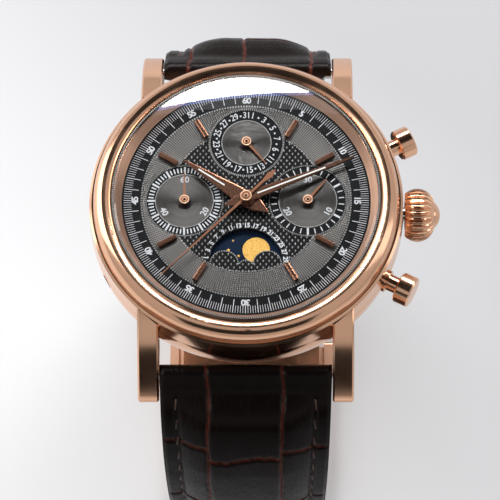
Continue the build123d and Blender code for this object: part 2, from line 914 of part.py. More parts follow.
save("stopwatch_hand", dial_turn(stop_hand_angle) * stop_hand())
small_hands = (
    ("small_seconds_hand", seconds_hand_length, -side_dial_x, 0, seconds_hand_angle),
    ("minute_counter_hand", counter_hand_length, side_dial_x, 0, counter_hand_angle),
    ("date_hand", date_hand_length, 0, top_dial_y, date_hand_angle),
)
for name, length, x, y, angle in small_hands:
    hand = needle(length, small_hand_tail, small_hand_width, small_hand_low, small_hand_top,
                  small_hub_radius, small_hub_top, small_arbor_radius)
    save(name, Pos(x, y, 0) * dial_turn(angle) * hand)


# Moon disc with two gold moons and stars, turning once in two moons

def star(radius, place):
    """A five-pointed gold star."""
    corners = []
    for number in range(10):
        reach = radius if number % 2 == 0 else radius * star_waist_share
        corners.append(polar(reach, 90 + number * 36))
    flat = make_face(Polyline(*corners, close=True))
    return Pos(place[0], place[1], moon_disc_top) * extrude(flat, figure_thickness)


moon_module = 2 * moon_disc_radius / moon_disc_teeth
moon_disc = toothed(moon_disc_teeth, moon_module, moon_disc_low, moon_disc_top, moon_disc_x, moon_disc_y)
moon_disc -= rod(moon_post_radius + running_gap, moon_disc_low - overrun, moon_disc_top + overrun,
                 moon_disc_x, moon_disc_y)
save("moon_disc", moon_disc)
moon_figures = []
# Stars stand at a direction from the moon beside them, a share of the moon's orbit and a size share.
star_shares = ((72, 0.62, 0.9), (82, 1.25, 1.0), (100, 1.62, 0.8), (60, 1.55, 0.7), (108, 0.95, 0.75))
for half_turn in (0, 180):
    upright = 90 - moon_angle + half_turn
    moon_place = polar(moon_orbit, upright, moon_disc_x, moon_disc_y)
    moon_figures.append(rod(moon_radius, moon_disc_top, moon_disc_top + figure_thickness, *moon_place))
    for turn, share, size in star_shares:
        place = polar(moon_orbit * share, upright + turn, moon_disc_x, moon_disc_y)
        moon_figures.append(star(star_radius * size, place))
save("moon_figures", *moon_figures)


# Main plate and bridges of the movement

def half_disc(radius, low, high, edge, side):
    """The part of a disc on one side of the line between the bridges."""
    cutter = block((-2 * radius, 2 * radius), (edge, edge + side * 2 * radius),
                   (low - overrun, high + overrun))
    return rod(radius, low, high) & (Rot(0, 0, bridge_line_angle - 90) * cutter)


train_pivots = ((third_x, third_y), (fourth_x, fourth_y), (escape_x, escape_y), (pallet_x, pallet_y))
plate_pivots = train_pivots + ((balance_x, balance_y),)


def main_plate():
    plate = rod(plate_radius, plate_low, plate_top)
    plate += tube(plate_radius, plate_rim_inner, plate_top, dial_low)
    plate += rod(moon_post_radius, plate_top, moon_disc_top, moon_disc_x, moon_disc_y)
    plate += rod(arbor_radius, plate_top, hour_wheel_top, motion_x, motion_y)
    plate -= rod(centre_arbor_radius + running_gap, plate_low - overrun, overrun)
    plate -= rod(small_arbor_radius + running_gap, plate_low - overrun, overrun, fourth_x, fourth_y)
    plate -= rod(small_arbor_radius + running_gap, plate_low - overrun, overrun, side_dial_x, 0)
    plate -= rod(arbor_radius + running_gap, plate_low / 2 + plate_top / 2, overrun, 0, top_dial_y)
    for x, y in plate_pivots:
        plate -= rod(jewel_radius, plate_low - overrun, plate_low + jewel_height, x, y)
    plate -= rod(barrel_arbor_radius + running_gap, plate_low - overrun, plate_low + jewel_height,
                 barrel_x, barrel_y)
    return plate


def foot(low_side, edge):
    """The wall under a bridge's outer edge that stands on the main plate."""
    ring = half_disc(bridge_radius, bridge_low, plate_low, edge, low_side)
    return ring - rod(bridge_foot_inner, bridge_low - overrun, plate_low + overrun)


def barrel_bridge():
    bridge = half_disc(bridge_radius, bridge_top, bridge_low, barrel_bridge_edge, 1)
    bridge += foot(1, barrel_bridge_edge)
    bridge -= rod(centre_arbor_radius + running_gap, bridge_top - overrun, bridge_low + overrun)
    bridge -= rod(small_arbor_radius + running_gap, bridge_top - overrun, bridge_low + overrun,
                  side_dial_x, 0)
    bridge -= rod(barrel_arbor_radius + running_gap, bridge_top - overrun, bridge_low + overrun, barrel_x,
                  barrel_y)
    bridge -= side_rod(crown_tube_radius, bridge_foot_inner - overrun, bridge_radius + overrun, 0,
                       stem_height)
    return bridge


balance_room = balance_radius + balance_screw_reach + balance_clearance
cock_direction = degrees(acos(balance_x / hypot(balance_x, balance_y))) * -1


def cock_bar(width, low, high):
    """A radial bar over the balance, out to the plate's edge."""
    start = hypot(balance_x, balance_y) - cock_width / 2
    bar = block((start, bridge_radius + overrun), (-width / 2, width / 2), (low, high))
    return Rot(0, 0, cock_direction) * bar


def train_bridge():
    edge = barrel_bridge_edge - bridge_split
    bridge = half_disc(bridge_radius, bridge_top, bridge_low, edge, -1) + foot(-1, edge)
    bridge -= rod(balance_room, bridge_top - overrun, plate_low + overrun, balance_x, balance_y)
    bridge -= cock_bar(cock_width + 2 * bridge_split, bridge_top - overrun, plate_low + overrun)
    for x, y in train_pivots:
        bridge -= rod(jewel_radius, bridge_low - jewel_height, bridge_low + overrun, x, y)
        bridge -= rod(arbor_radius, bridge_top - overrun, bridge_low + overrun, x, y)
    return bridge & rod(bridge_radius, bridge_top, plate_low)


def balance_cock():
    cock = cock_bar(cock_width, bridge_top, bridge_low)
    cock += rod(cock_width / 2, bridge_top, bridge_low, balance_x, balance_y)
    cock += cock_bar(cock_width, bridge_low, plate_low) - rod(bridge_foot_inner, bridge_low - overrun,
                                                              plate_low + overrun)
    cock &= rod(bridge_radius, bridge_top, plate_low)
    cock -= rod(jewel_radius, bridge_low - jewel_height, bridge_low + overrun, balance_x, balance_y)
    return cock - rod(arbor_radius, bridge_top - overrun, bridge_low + overrun, balance_x, balance_y)


def jewel(x, y, low):
    return tube(jewel_radius, arbor_radius - 2 * running_gap, low, low + jewel_height, x, y)


def bridge_screw(direction, circle=screw_circle):
    x, y = polar(circle, direction)
    head = rod(screw_head_radius, bridge_top - screw_head_height, bridge_top, x, y)
    slot = block((x - screw_head_radius, x + screw_head_radius), (y - screw_slot / 2, y + screw_slot / 2),
                 (bridge_top - overrun, bridge_top - screw_head_height / 2))
    return head - slot


def upper_bridge():
    """The bar over the stopwatch wheels, standing on the barrel bridge at both ends."""
    half = upper_bridge_width / 2
    bar = block((upper_bridge_start, upper_bridge_reach), (-half, half),
                (upper_bridge_low, upper_bridge_top))
    for x in (upper_bridge_start, upper_bridge_reach):
        bar += rod(half, upper_bridge_low, bridge_top, x, 0)
    bar -= rod(stop_arbor_radius + running_gap, upper_bridge_top - jewel_height / 2,
               upper_bridge_top + overrun)
    bar -= rod(arbor_radius + running_gap, upper_bridge_top - jewel_height / 2, upper_bridge_top + overrun,
               side_dial_x, 0)
    return bar


save("main_plate", main_plate())
save("barrel_bridge", barrel_bridge())
save("train_bridge", train_bridge())
save("balance_cock", balance_cock())
save("stopwatch_bridge", upper_bridge())
jewels = [jewel(x, y, bridge_low - jewel_height) for x, y in plate_pivots]
jewels += [jewel(x, y, plate_low) for x, y in plate_pivots]
save("jewels", *jewels)
screw_directions = (20, 75, 130, 165, 200, 300)
save("bridge_screws", *[bridge_screw(direction) for direction in screw_directions])


# Going train: barrel, centre, third, fourth and escape wheels

def pivot_arbor(x, y):
    """A plain arbor with a thinner pivot in the jewel at each end."""
    shaft = rod(arbor_radius, bridge_low + running_gap, plate_low - running_gap, x, y)
    pivot = arbor_radius - pivot_step
    return shaft + rod(pivot, bridge_low - jewel_height, plate_low + jewel_height, x, y)


def direction_to(x0, y0, x1, y1):
    """The direction from one centre to another."""
    angle = degrees(acos((x1 - x0) / hypot(x1 - x0, y1 - y0)))
    return angle if y1 >= y0 else -angle


centre_to_barrel = direction_to(0, 0, barrel_x, barrel_y)
barrel = toothed(barrel_teeth, barrel_module, barrel_flange_low, barrel_top, barrel_x, barrel_y,
                 gap_at(barrel_teeth, centre_to_barrel + 180))
barrel += rod(barrel_drum_radius, barrel_low, barrel_flange_low, barrel_x, barrel_y)
barrel -= rod(barrel_arbor_radius + running_gap, barrel_low - overrun, barrel_top + overrun, barrel_x,
              barrel_y)
save("mainspring_barrel", barrel)

centre_to_third = direction_to(0, 0, third_x, third_y)
centre_wheel = toothed(centre_teeth, centre_module, centre_wheel_low, centre_wheel_top, 0, 0,
                       centre_to_third)
centre_wheel = spoked(centre_wheel, centre_module * centre_teeth / 2, centre_wheel_low, centre_wheel_top,
                      0, 0)
centre_wheel += toothed(centre_pinion_teeth, barrel_module, barrel_flange_low - running_gap,
                        barrel_top + running_gap,
                        0, 0, centre_to_barrel)
centre_wheel += rod(centre_arbor_radius, bridge_top + running_gap, centre_arbor_top)
centre_wheel -= rod(centre_arbor_bore, bridge_top - overrun, centre_arbor_top + overrun)
save("centre_wheel", centre_wheel)

third_to_fourth = direction_to(third_x, third_y, fourth_x, fourth_y)
third_wheel = toothed(third_teeth, third_module, third_wheel_low, third_wheel_top, third_x, third_y,
                      third_to_fourth)
third_wheel = spoked(third_wheel, third_module * third_teeth / 2, third_wheel_low, third_wheel_top,
                     third_x, third_y)
third_wheel += toothed(third_pinion_teeth, centre_module, centre_wheel_low - running_gap,
                       centre_wheel_top + running_gap,
                       third_x, third_y, gap_at(third_pinion_teeth, centre_to_third + 180))
third_wheel += pivot_arbor(third_x, third_y)
save("third_wheel", third_wheel)

fourth_to_escape = escape_direction
fourth_wheel = toothed(fourth_teeth, fourth_module, fourth_wheel_low, fourth_wheel_top, fourth_x, fourth_y,
                       fourth_to_escape)
fourth_wheel = spoked(fourth_wheel, fourth_module * fourth_teeth / 2, fourth_wheel_low, fourth_wheel_top,
                      fourth_x, fourth_y)
fourth_wheel += toothed(fourth_pinion_teeth, third_module, third_wheel_low - running_gap,
                        third_wheel_top + running_gap,
                        fourth_x, fourth_y, gap_at(fourth_pinion_teeth, third_to_fourth + 180))
fourth_wheel += rod(arbor_radius, bridge_low + running_gap, plate_low - running_gap, fourth_x, fourth_y)
fourth_wheel += rod(arbor_radius - pivot_step, bridge_low - jewel_height, plate_low, fourth_x,
                    fourth_y)
fourth_pivot = min(arbor_radius - pivot_step, small_arbor_radius)
fourth_wheel += rod(fourth_pivot, plate_low - running_gap, plate_low + jewel_height + running_gap,
                    fourth_x, fourth_y)
fourth_wheel += rod(small_arbor_radius, plate_low + jewel_height + running_gap, small_hand_top, fourth_x,
                    fourth_y)
save("fourth_wheel", fourth_wheel)


def escape_wheel():
    """A thin wheel with long pointed teeth that lean forward."""
    step = 360 / escape_teeth
    corners = []
    for number in range(escape_teeth):
        corners.append(polar(escape_root_radius, number * step))
        corners.append(polar(escape_radius, (number + escape_tooth_lean) * step))
        corners.append(polar(escape_radius, (number + escape_tooth_tip) * step))
        corners.append(polar(escape_root_radius, (number + escape_tooth_lean) * step))
    flat = make_face(Polyline(*corners, close=True))
    wheel = Pos(escape_x, escape_y, escape_low) * extrude(flat, escape_top - escape_low)
    wheel = spoked(wheel, escape_root_radius + wheel_rim / 2, escape_low, escape_top, escape_x, escape_y)
    wheel += toothed(escape_pinion_teeth, fourth_module, fourth_wheel_low - running_gap,
                     fourth_wheel_top + running_gap,
                     escape_x, escape_y, gap_at(escape_pinion_teeth, fourth_to_escape + 180))
    return wheel + pivot_arbor(escape_x, escape_y)


save("escape_wheel", escape_wheel())


# Pallet fork, balance wheel and hairspring

def pallet_fork():
    """A lever from the pallet arms to a forked end beside the balance staff, drawn along X."""
    half = pallet_width / 2
    lever = block((-half, pallet_length), (-half, half), (pallet_low, pallet_top))
    lever += block((pallet_length - half, pallet_length + half), (-2 * half, 2 * half),
                   (pallet_low, pallet_top))
    lever -= block((pallet_length, pallet_length + overrun), (-half / 2, half / 2),
                   (pallet_low - overrun, pallet_top + overrun))
    lever += block((-pallet_width, half), (-pallet_arm, pallet_arm), (pallet_low, pallet_top))
    for side in (-1, 1):
        y = side * (pallet_arm - pallet_stone / 2)
        lever += block((-pallet_width - pallet_stone, half), (y - pallet_stone / 2, y + pallet_stone / 2),
                       (pallet_low, pallet_top))
    return Pos(pallet_x, pallet_y, 0) * Rot(0, 0, balance_direction) * lever + pivot_arbor(pallet_x,
                                                                                           pallet_y)


def balance_wheel():
    rim = tube(balance_radius, balance_radius - balance_rim, balance_low, balance_top)
    half = balance_arm_width / 2
    inner = balance_radius - balance_rim / 2
    rim += block((-inner, inner), (-half, half), (balance_low, balance_arm_top))
    rim += rod(wheel_hub_radius, balance_low, balance_arm_top)
    for number in range(balance_screws):
        screw = side_rod(balance_screw_radius, balance_radius - balance_rim / 2,
                         balance_radius + balance_screw_reach,
                         0, (balance_low + balance_top) / 2)
        rim += Rot(0, 0, (number + 0.5) * 360 / balance_screws) * screw
    rim += rod(roller_radius, roller_low, roller_top)
    return Pos(balance_x, balance_y, 0) * rim + pivot_arbor(balance_x, balance_y)


def hairspring():
    """A flat ribbon wound outwards from the collet to the stud in the cock."""
    steps = 12 * hairspring_turns
    inner_edge = []
    outer_edge = []
    for number in range(steps + 1):
        share = number / steps
        radius = hairspring_inner + (hairspring_outer - hairspring_inner) * share
        angle = 360 * hairspring_turns * share
        inner_edge.append(polar(radius, angle))
        outer_edge.append(polar(radius + hairspring_thickness, angle))
    ribbon = make_face([Spline(*inner_edge), Line(inner_edge[-1], outer_edge[-1]),
                        Spline(*outer_edge), Line(outer_edge[0], inner_edge[0])])
    coil = Pos(0, 0, hairspring_low) * extrude(ribbon, hairspring_top - hairspring_low)
    stud_half = 2 * hairspring_thickness
    stud_x = hairspring_outer + hairspring_thickness
    stud = block((stud_x, stud_x + 2 * stud_half), (-stud_half, stud_half), (bridge_low, hairspring_top))
    return Pos(balance_x, balance_y, 0) * Rot(0, 0, cock_direction) * (coil + stud)


save("pallet_fork", pallet_fork())
save("balance_wheel", balance_wheel())
save("hairspring", hairspring())

# Motion works: cannon pinion, minute wheel and hour wheel
cannon = toothed(cannon_teeth, motion_module, cannon_teeth_low, cannon_teeth_top, 0, 0, motion_direction)
cannon += rod(cannon_radius, cannon_teeth_low, cannon_top)
cannon -= rod(cannon_bore, cannon_teeth_low - overrun, cannon_top + overrun)
save("cannon_pinion", cannon)
minute_wheel = toothed(minute_wheel_teeth, motion_module, minute_wheel_low, minute_wheel_top, motion_x,
                       motion_y,
                       gap_at(minute_wheel_teeth, motion_direction + 180))
minute_wheel += toothed(minute_pinion_teeth, motion_pinion_module, minute_wheel_top,
                        hour_wheel_top + running_gap,
                        motion_x, motion_y, gap_at(minute_pinion_teeth, motion_direction + 180))
minute_wheel -= rod(arbor_radius + running_gap, minute_wheel_low - overrun, overrun, motion_x, motion_y)
save("minute_wheel", minute_wheel)
hour_wheel = toothed(hour_wheel_teeth, motion_pinion_module, hour_wheel_low, hour_wheel_top, 0, 0,
                     motion_direction)
hour_wheel += rod(hour_pipe_radius, hour_wheel_low, hour_hand_low + hand_thickness)
hour_wheel -= rod(hour_pipe_bore, hour_wheel_low - overrun, hour_hand_low + overrun)
save("hour_wheel", hour_wheel)

# Date wheel under the dial
date_module = 2 * date_radius / date_teeth
date_wheel = toothed(date_teeth, date_module, date_low, date_top, 0, top_dial_y)
date_wheel = spoked(date_wheel, date_radius, date_low, date_top, 0, top_dial_y)
date_wheel += rod(arbor_radius, plate_low / 2 + plate_top / 2 + running_gap, dial_low - running_gap, 0,
                  top_dial_y)
date_wheel += rod(small_arbor_radius, dial_low - running_gap, small_hand_top, 0, top_dial_y)
save("date_wheel", date_wheel)

# Stopwatch wheels on the back of the barrel bridge
stop_module = 2 * stop_wheel_radius / stop_wheel_teeth
stop_wheel = toothed(stop_wheel_teeth, stop_module, upper_wheel_low, upper_wheel_top)
stop_wheel = spoked(stop_wheel, stop_wheel_radius, upper_wheel_low, upper_wheel_top, 0, 0)
stop_wheel += rod(wheel_hub_radius, upper_wheel_low, bridge_top - running_gap)
stop_wheel += rod(stop_arbor_radius, upper_bridge_top - jewel_height / 2, stop_hand_top)
save("stopwatch_wheel", stop_wheel)
counter_module = 2 * counter_wheel_radius / counter_wheel_teeth
counter_wheel = toothed(counter_wheel_teeth, counter_module, upper_wheel_low, upper_wheel_top, side_dial_x,
                        0)
counter_wheel = spoked(counter_wheel, counter_wheel_radius, upper_wheel_low, upper_wheel_top, side_dial_x,
                       0)
counter_wheel += rod(wheel_hub_radius, upper_wheel_low, bridge_top - running_gap, side_dial_x, 0)
counter_wheel += rod(arbor_radius, upper_bridge_top - jewel_height / 2, upper_wheel_low, side_dial_x, 0)
counter_wheel += rod(small_arbor_radius, upper_wheel_low, small_hand_top, side_dial_x, 0)
save("minute_counter_wheel", counter_wheel)

# Winding works: pinion on the stem, crown wheel and ratchet wheel
pinion_module = 2 * winding_pinion_radius / winding_pinion_teeth
pinion = toothed(winding_pinion_teeth, pinion_module, winding_pinion_inner, winding_pinion_outer)
pinion -= rod(stem_radius + running_gap / 2, winding_pinion_inner - overrun, winding_pinion_outer + overrun)
save("winding_pinion", Pos(0, 0, stem_height) * Rot(0, 90, 0) * pinion)
crown_to_ratchet = direction_to(crown_wheel_x, 0, barrel_x, barrel_y)
crown_wheel = toothed(crown_wheel_teeth, ratchet_module, ratchet_low, ratchet_top, crown_wheel_x, 0,
                      crown_to_ratchet)
crown_wheel += rod(wheel_hub_radius, bridge_low + running_gap, ratchet_low, crown_wheel_x, 0)
crown_wheel -= rod(small_arbor_radius + running_gap, bridge_low - overrun, ratchet_top + overrun,
                   crown_wheel_x, 0)
save("crown_wheel", crown_wheel)
ratchet = toothed(ratchet_teeth, ratchet_module, ratchet_low, ratchet_top, barrel_x, barrel_y,
                  gap_at(ratchet_teeth, crown_to_ratchet + 180))
ratchet += rod(barrel_arbor_radius, bridge_top, plate_low + jewel_height, barrel_x, barrel_y)
save("ratchet_wheel", ratchet)


# Strap: two padded leather halves, each on its spring bar and its clasp pin

def strap_stations():
    """Reach and height of the middle line's points, from the spring bar to the clasp pin."""
    bar = (bar_reach, strap_rise)
    pin = (pin_reach, pin_rise)
    between = []
    for reach_share, rise_share in zip(strap_reach_shares, strap_rise_shares):
        foot_reach = bar_reach if rise_share > 0.5 else pin_reach
        reach = foot_reach + (strap_reach - foot_reach) * reach_share
        between.append((reach, pin_rise + (strap_rise - pin_rise) * rise_share))
    return [bar, *between, pin]


def strap_section(place, ahead, width, hump):
    """One cross section: flat lining, upright edges and a crowned outside."""
    run = (ahead[0], ahead[1])
    size = hypot(*run)
    plane = Plane(origin=(0, place[0], place[1] - dial_height), x_dir=(1, 0, 0),
                  z_dir=(0, run[0] / size, run[1] / size))
    half = width / 2
    inner = strap_lining
    face = outline((-half, inner), (half, inner), (half, -strap_edge), ((0, -hump), (-half, -strap_edge)))
    return plane * face


def upper_strap():
    stations = strap_stations()
    line = Spline(*[Vector(0, reach, rise) for reach, rise in stations])
    humps = (strap_roll_radius, *[strap_hump * share for share in strap_hump_shares], strap_pin_roll_radius)
    sections = []
    last = len(stations) - 1
    for number, (reach, rise) in enumerate(stations):
        spot = line.position_at(line.param_at_point(Vector(0, reach, rise)))
        ahead = line.tangent_at(line.param_at_point(spot))
        width = strap_width + (strap_end_width - strap_width) * number / last
        sections.append(strap_section((reach, rise), (ahead.Y, ahead.Z), width,
                                      max(humps[number], strap_edge + running_gap)))
    body = loft(sections)
    body += side_rod(strap_roll_radius, -strap_width / 2, strap_width / 2, bar_reach, bar_height)
    body += side_rod(strap_pin_roll_radius, -strap_end_width / 2, strap_end_width / 2, pin_reach,
                     rest + pin_rise)
    body -= side_rod(strap_bar_bore, -strap_width, strap_width, bar_reach, bar_height)
    body -= side_rod(clasp_pin_radius + running_gap / 2, -strap_width, strap_width, pin_reach,
                     rest + pin_rise)
    return body


strap = upper_strap()
save("strap_upper", strap)
save("strap_lower", mirror(strap, about=Plane.XZ))


def spring_bar(y):
    half = lug_gap / 2 - bar_end_gap
    bar = side_rod(bar_radius, -half, half, y, bar_height)
    tip = lug_gap / 2 + bar_tip_length
    return bar + side_rod(bar_tip_radius, -tip, tip, y, bar_height)


save("spring_bars", spring_bar(bar_reach), spring_bar(-bar_reach))


# Folding clasp: cover, middle blade, inner frame, pins and two push-buttons

def ears(y, rise, radius, plate_end):
    """A pair of ears that hold a pin, reaching from the plate's end at its sides."""
    pair = []
    for side in (-1, 1):
        inner = side * (clasp_half_width - ear_thickness)
        outer = side * clasp_half_width
        ear = side_rod(radius, min(inner, outer), max(inner, outer), y, rest + rise)
        ear += block((inner, outer), (y - radius, y + radius), (rest + cover_thickness / 2, rest + rise))
        ear += block((inner, outer), (min(y - radius, plate_end), max(y, plate_end)),
                     (rest + cover_thickness / 2, rest + cover_thickness))
        pair.append(ear)
    return pair[0] + pair[1]


def clasp_pin(y, rise, half):
    """A riveted pin along X."""
    return side_rod(clasp_pin_radius, -half, half, y, rest + rise)


def clasp_cover():
    cover = block((-clasp_half_width, clasp_half_width), (-cover_far_end, cover_near_end),
                  (rest, rest + cover_thickness))
    rims = cover.edges().filter_by(Axis.Z)
    cover = fillet(rims, cover_edge * 2)
    cover = chamfer(cover.faces().sort_by(Axis.Z)[0].edges(), cover_edge / 2)
    cover += ears(pin_reach, pin_rise, ear_radius, cover_near_end - 2 * cover_edge)
    cover += ears(-fold_pin_reach, fold_pin_rise, fold_ear_radius, -fold_pin_reach)
    for side in (-1, 1):
        inner = side * (clasp_half_width - rail_thickness)
        rail = block((inner, side * clasp_half_width),
                     (rail_middle - rail_length / 2, rail_middle + rail_length / 2),
                     (rest + cover_thickness / 2, rest + rail_top))
        window = block((inner - side * overrun, side * (clasp_half_width + overrun)),
                       (rail_middle - button_stem_length / 2 - running_gap,
                        rail_middle + button_stem_length / 2 + running_gap),
                       (rest + button_rise - button_stem_height / 2 - running_gap,
                        rest + button_rise + button_stem_height / 2 + running_gap))
        cover += rail - window
    cover += clasp_pin(pin_reach, pin_rise, clasp_half_width)
    return cover + clasp_pin(-fold_pin_reach, fold_pin_rise, clasp_half_width)


def clasp_blade():
    """The middle blade, hinged to the cover at one end and to the frame at the other."""
    half = clasp_half_width - rail_thickness - knuckle_gap
    barrel_half = clasp_half_width - ear_thickness - knuckle_gap
    low = rest + blade_low
    blade = block((-half, half), (-fold_pin_reach, blade_pin_reach - knuckle_radius),
                  (low, low + blade_thickness))
    blade += side_rod(knuckle_radius, -barrel_half, barrel_half, -fold_pin_reach, rest + fold_pin_rise)
    tongue = blade_knuckle_half
    blade += side_rod(knuckle_radius, -tongue, tongue, blade_pin_reach, rest + blade_pin_rise)
    blade += block((-tongue, tongue), (blade_pin_reach - 2 * knuckle_radius, blade_pin_reach),
                   (low, rest + blade_pin_rise))
    blade -= side_rod(clasp_pin_radius + running_gap, -strap_width, strap_width, -fold_pin_reach,
                      rest + fold_pin_rise)
    blade -= side_rod(clasp_pin_radius + running_gap, -strap_width, strap_width, blade_pin_reach,
                      rest + blade_pin_rise)
    return blade


def clasp_frame():
    """The inner blade that lies against the wrist, with ears for the lower strap's pin."""
    low = rest + frame_low
    half = clasp_half_width
    start = -pin_reach + strap_pin_roll_radius + knuckle_gap
    frame = block((-half, half), (start, blade_pin_reach), (low, low + frame_thickness))
    for side in (-1, 1):
        inner = side * (blade_knuckle_half + knuckle_gap)
        outer = side * half
        frame += side_rod(knuckle_radius, min(inner, outer), max(inner, outer), blade_pin_reach,
                          rest + blade_pin_rise)
        ear = side_rod(ear_radius, min(side * (half - ear_thickness), outer),
                       max(side * (half - ear_thickness), outer),
                       -pin_reach, rest + pin_rise)
        ear += block((side * (half - ear_thickness), outer), (-pin_reach, start + ear_radius),
                     (rest + pin_rise, low + frame_thickness))
        frame += ear
    middle = block((-blade_knuckle_half - knuckle_gap, blade_knuckle_half + knuckle_gap),
                   (blade_pin_reach - knuckle_radius - knuckle_gap, blade_pin_reach + overrun),
                   (rest, low + frame_thickness + overrun))
    return frame - middle + clasp_pin(blade_pin_reach, blade_pin_rise, half)


def clasp_button(side):
    """A push-button: a head beside the cover and a flat stem through its rail."""
    head_in = side * (button_outer - button_head_depth)
    y_head = (rail_middle - button_length / 2, rail_middle + button_length / 2)
    z_head = (rest + button_rise - button_height / 2, rest + button_rise + button_height / 2)
    head = block((head_in, side * button_outer), y_head, z_head)
    head = fillet(head.edges().filter_by(Axis.X), button_height * button_round_share)
    y_stem = (rail_middle - button_stem_length / 2, rail_middle + button_stem_length / 2)
    z_stem = (rest + button_rise - button_stem_height / 2, rest + button_rise + button_stem_height / 2)
    return head + block((side * button_inner, head_in), y_stem, z_stem)


save("clasp_cover", clasp_cover())
save("clasp_blade", clasp_blade())
save("clasp_frame", clasp_frame())
save("strap_end_pin", side_rod(clasp_pin_radius, -strap_end_width / 2, strap_end_width / 2, -pin_reach,
                               rest + pin_rise))
save("clasp_button_left", clasp_button(-1))
save("clasp_button_right", clasp_button(1))
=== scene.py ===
from math import cos, hypot, pi, radians, sin, sqrt

import bmesh
import bpy
from mathutils import Matrix, Vector, noise


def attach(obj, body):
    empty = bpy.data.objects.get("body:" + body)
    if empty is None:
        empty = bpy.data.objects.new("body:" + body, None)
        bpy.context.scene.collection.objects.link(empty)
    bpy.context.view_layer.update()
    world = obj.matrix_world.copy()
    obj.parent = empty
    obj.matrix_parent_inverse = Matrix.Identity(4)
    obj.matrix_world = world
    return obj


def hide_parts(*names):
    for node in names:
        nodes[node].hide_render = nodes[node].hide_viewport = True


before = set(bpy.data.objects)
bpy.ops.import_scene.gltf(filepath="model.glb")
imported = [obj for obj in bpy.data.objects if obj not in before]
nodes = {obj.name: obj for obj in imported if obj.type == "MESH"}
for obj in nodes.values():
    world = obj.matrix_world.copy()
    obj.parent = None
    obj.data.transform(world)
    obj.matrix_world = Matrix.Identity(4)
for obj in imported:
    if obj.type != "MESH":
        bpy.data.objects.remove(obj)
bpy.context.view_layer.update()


# Main plate and bridges: brass plates, milled, rhodium plated and decorated by hand. They are
# screwed together over the wheels and seen through the window of the case back.

mm = 0.001
per_mm = 1000.0


def linear(code):
    """An sRGB hex colour in Blender's linear values."""
    shares = [int(code[place:place + 2], 16) / 255 for place in (0, 2, 4)]
    return (*[s / 12.92 if s <= 0.04045 else ((s + 0.055) / 1.055) ** 2.4 for s in shares], 1)


def finish(name, settings):
    """A new material with the settings on its shader; gives the material and its tree."""
    look = bpy.data.materials.new(name)
    look.use_nodes = True
    shader = look.node_tree.nodes["Principled BSDF"]
    for socket, value in settings.items():
        shader.inputs[socket].default_value = value
    return look, look.node_tree


def add(tree, kind, settings={}, links={}, stops=(), feeds=None, output=0):
    """Adds one node with its settings, the links into its sockets and the stops of a ramp, and
    links its output to the shader's socket that it feeds."""
    made = tree.nodes.new("ShaderNode" + kind)
    for name, value in settings.items():
        if isinstance(name, str) and hasattr(made, name):
            setattr(made, name, value)
        else:
            made.inputs[name].default_value = value
    for socket, source in links.items():
        tree.links.new(source, made.inputs[socket])
    for number, (place, code) in enumerate(stops):
        points = made.color_ramp.elements
        point = points[number] if number < 2 else points.new(place)
        point.position = place
        point.color = linear(code)
    if feeds:
        tree.links.new(made.outputs[output], tree.nodes["Principled BSDF"].inputs[feeds])
    return made


def dress(look, *names):
    """Gives the material to CAD nodes."""
    for name in names:
        for place in nodes[name].material_slots:
            place.material = look


# Rhodium over brass, cut in stripes by the rim of a turning disc: each stripe catches the light
# on one flank, and its fine cuts run along it.
stripe_width = 1.5
stripe_turn = (0, 0, radians(28))
striped_rhodium, tree = finish("rhodium_plated_brass_striped", {
    "Base Color": linear("C9C7C3"), "Metallic": 1.0, "Roughness": 0.28})
place = add(tree, "TexCoord")
across = add(tree, "Mapping", {"Rotation": stripe_turn, "Scale": (per_mm, per_mm, per_mm)},
             {"Vector": place.outputs["Object"]})
# A wave texture has 20 radians to a unit.
stripes = add(tree, "TexWave", {"wave_profile": "SAW", "Scale": 2 * pi / 20 / stripe_width},
              {"Vector": across.outputs[0]})
along = add(tree, "Mapping", {"Rotation": stripe_turn, "Scale": (0.3 * per_mm, 6 * per_mm, per_mm)},
            {"Vector": place.outputs["Object"]})
cuts = add(tree, "TexNoise", {"Scale": 6.0, "Detail": 3.0}, {"Vector": along.outputs[0]})
height = add(tree, "Math", {"operation": "MULTIPLY_ADD", 1: 0.12},
             {0: cuts.outputs["Fac"], 2: stripes.outputs["Fac"]})
add(tree, "Bump", {"Strength": 0.5, "Distance": 0.12 * mm}, {"Height": height.outputs[0]},
    feeds="Normal")
dress(striped_rhodium, "barrel_bridge", "train_bridge", "balance_cock", "stopwatch_bridge")

# Rhodium over brass with round grains, pressed on by a turning peg: rows of small sparkling rings.
grain_across = 1.1
grained_rhodium, tree = finish("rhodium_plated_brass_grained", {
    "Base Color": linear("BDBBB7"), "Metallic": 1.0, "Roughness": 0.3})
place = add(tree, "TexCoord")
cells = add(tree, "Mapping", {"Scale": (per_mm / grain_across, per_mm / grain_across, 0)},
            {"Vector": place.outputs["Object"]})
inside = add(tree, "VectorMath", {"operation": "FRACTION"}, {0: cells.outputs[0]})
middle = add(tree, "VectorMath", {"operation": "SUBTRACT", 1: (0.5, 0.5, 0)},
             {0: inside.outputs[0]})
reach = add(tree, "VectorMath", {"operation": "LENGTH"}, {0: middle.outputs[0]})
steps = add(tree, "Math", {"operation": "MULTIPLY", 1: 60.0}, {0: reach.outputs["Value"]})
rings = add(tree, "Math", {"operation": "SINE"}, {0: steps.outputs[0]})
add(tree, "Bump", {"Strength": 0.35, "Distance": 0.03 * mm}, {"Height": rings.outputs[0]},
    feeds="Normal")
dress(grained_rhodium, "main_plate")


# Jewels: synthetic ruby, grown in a flame and ground to rings. They are pressed into the plates
# and carry the arbors.

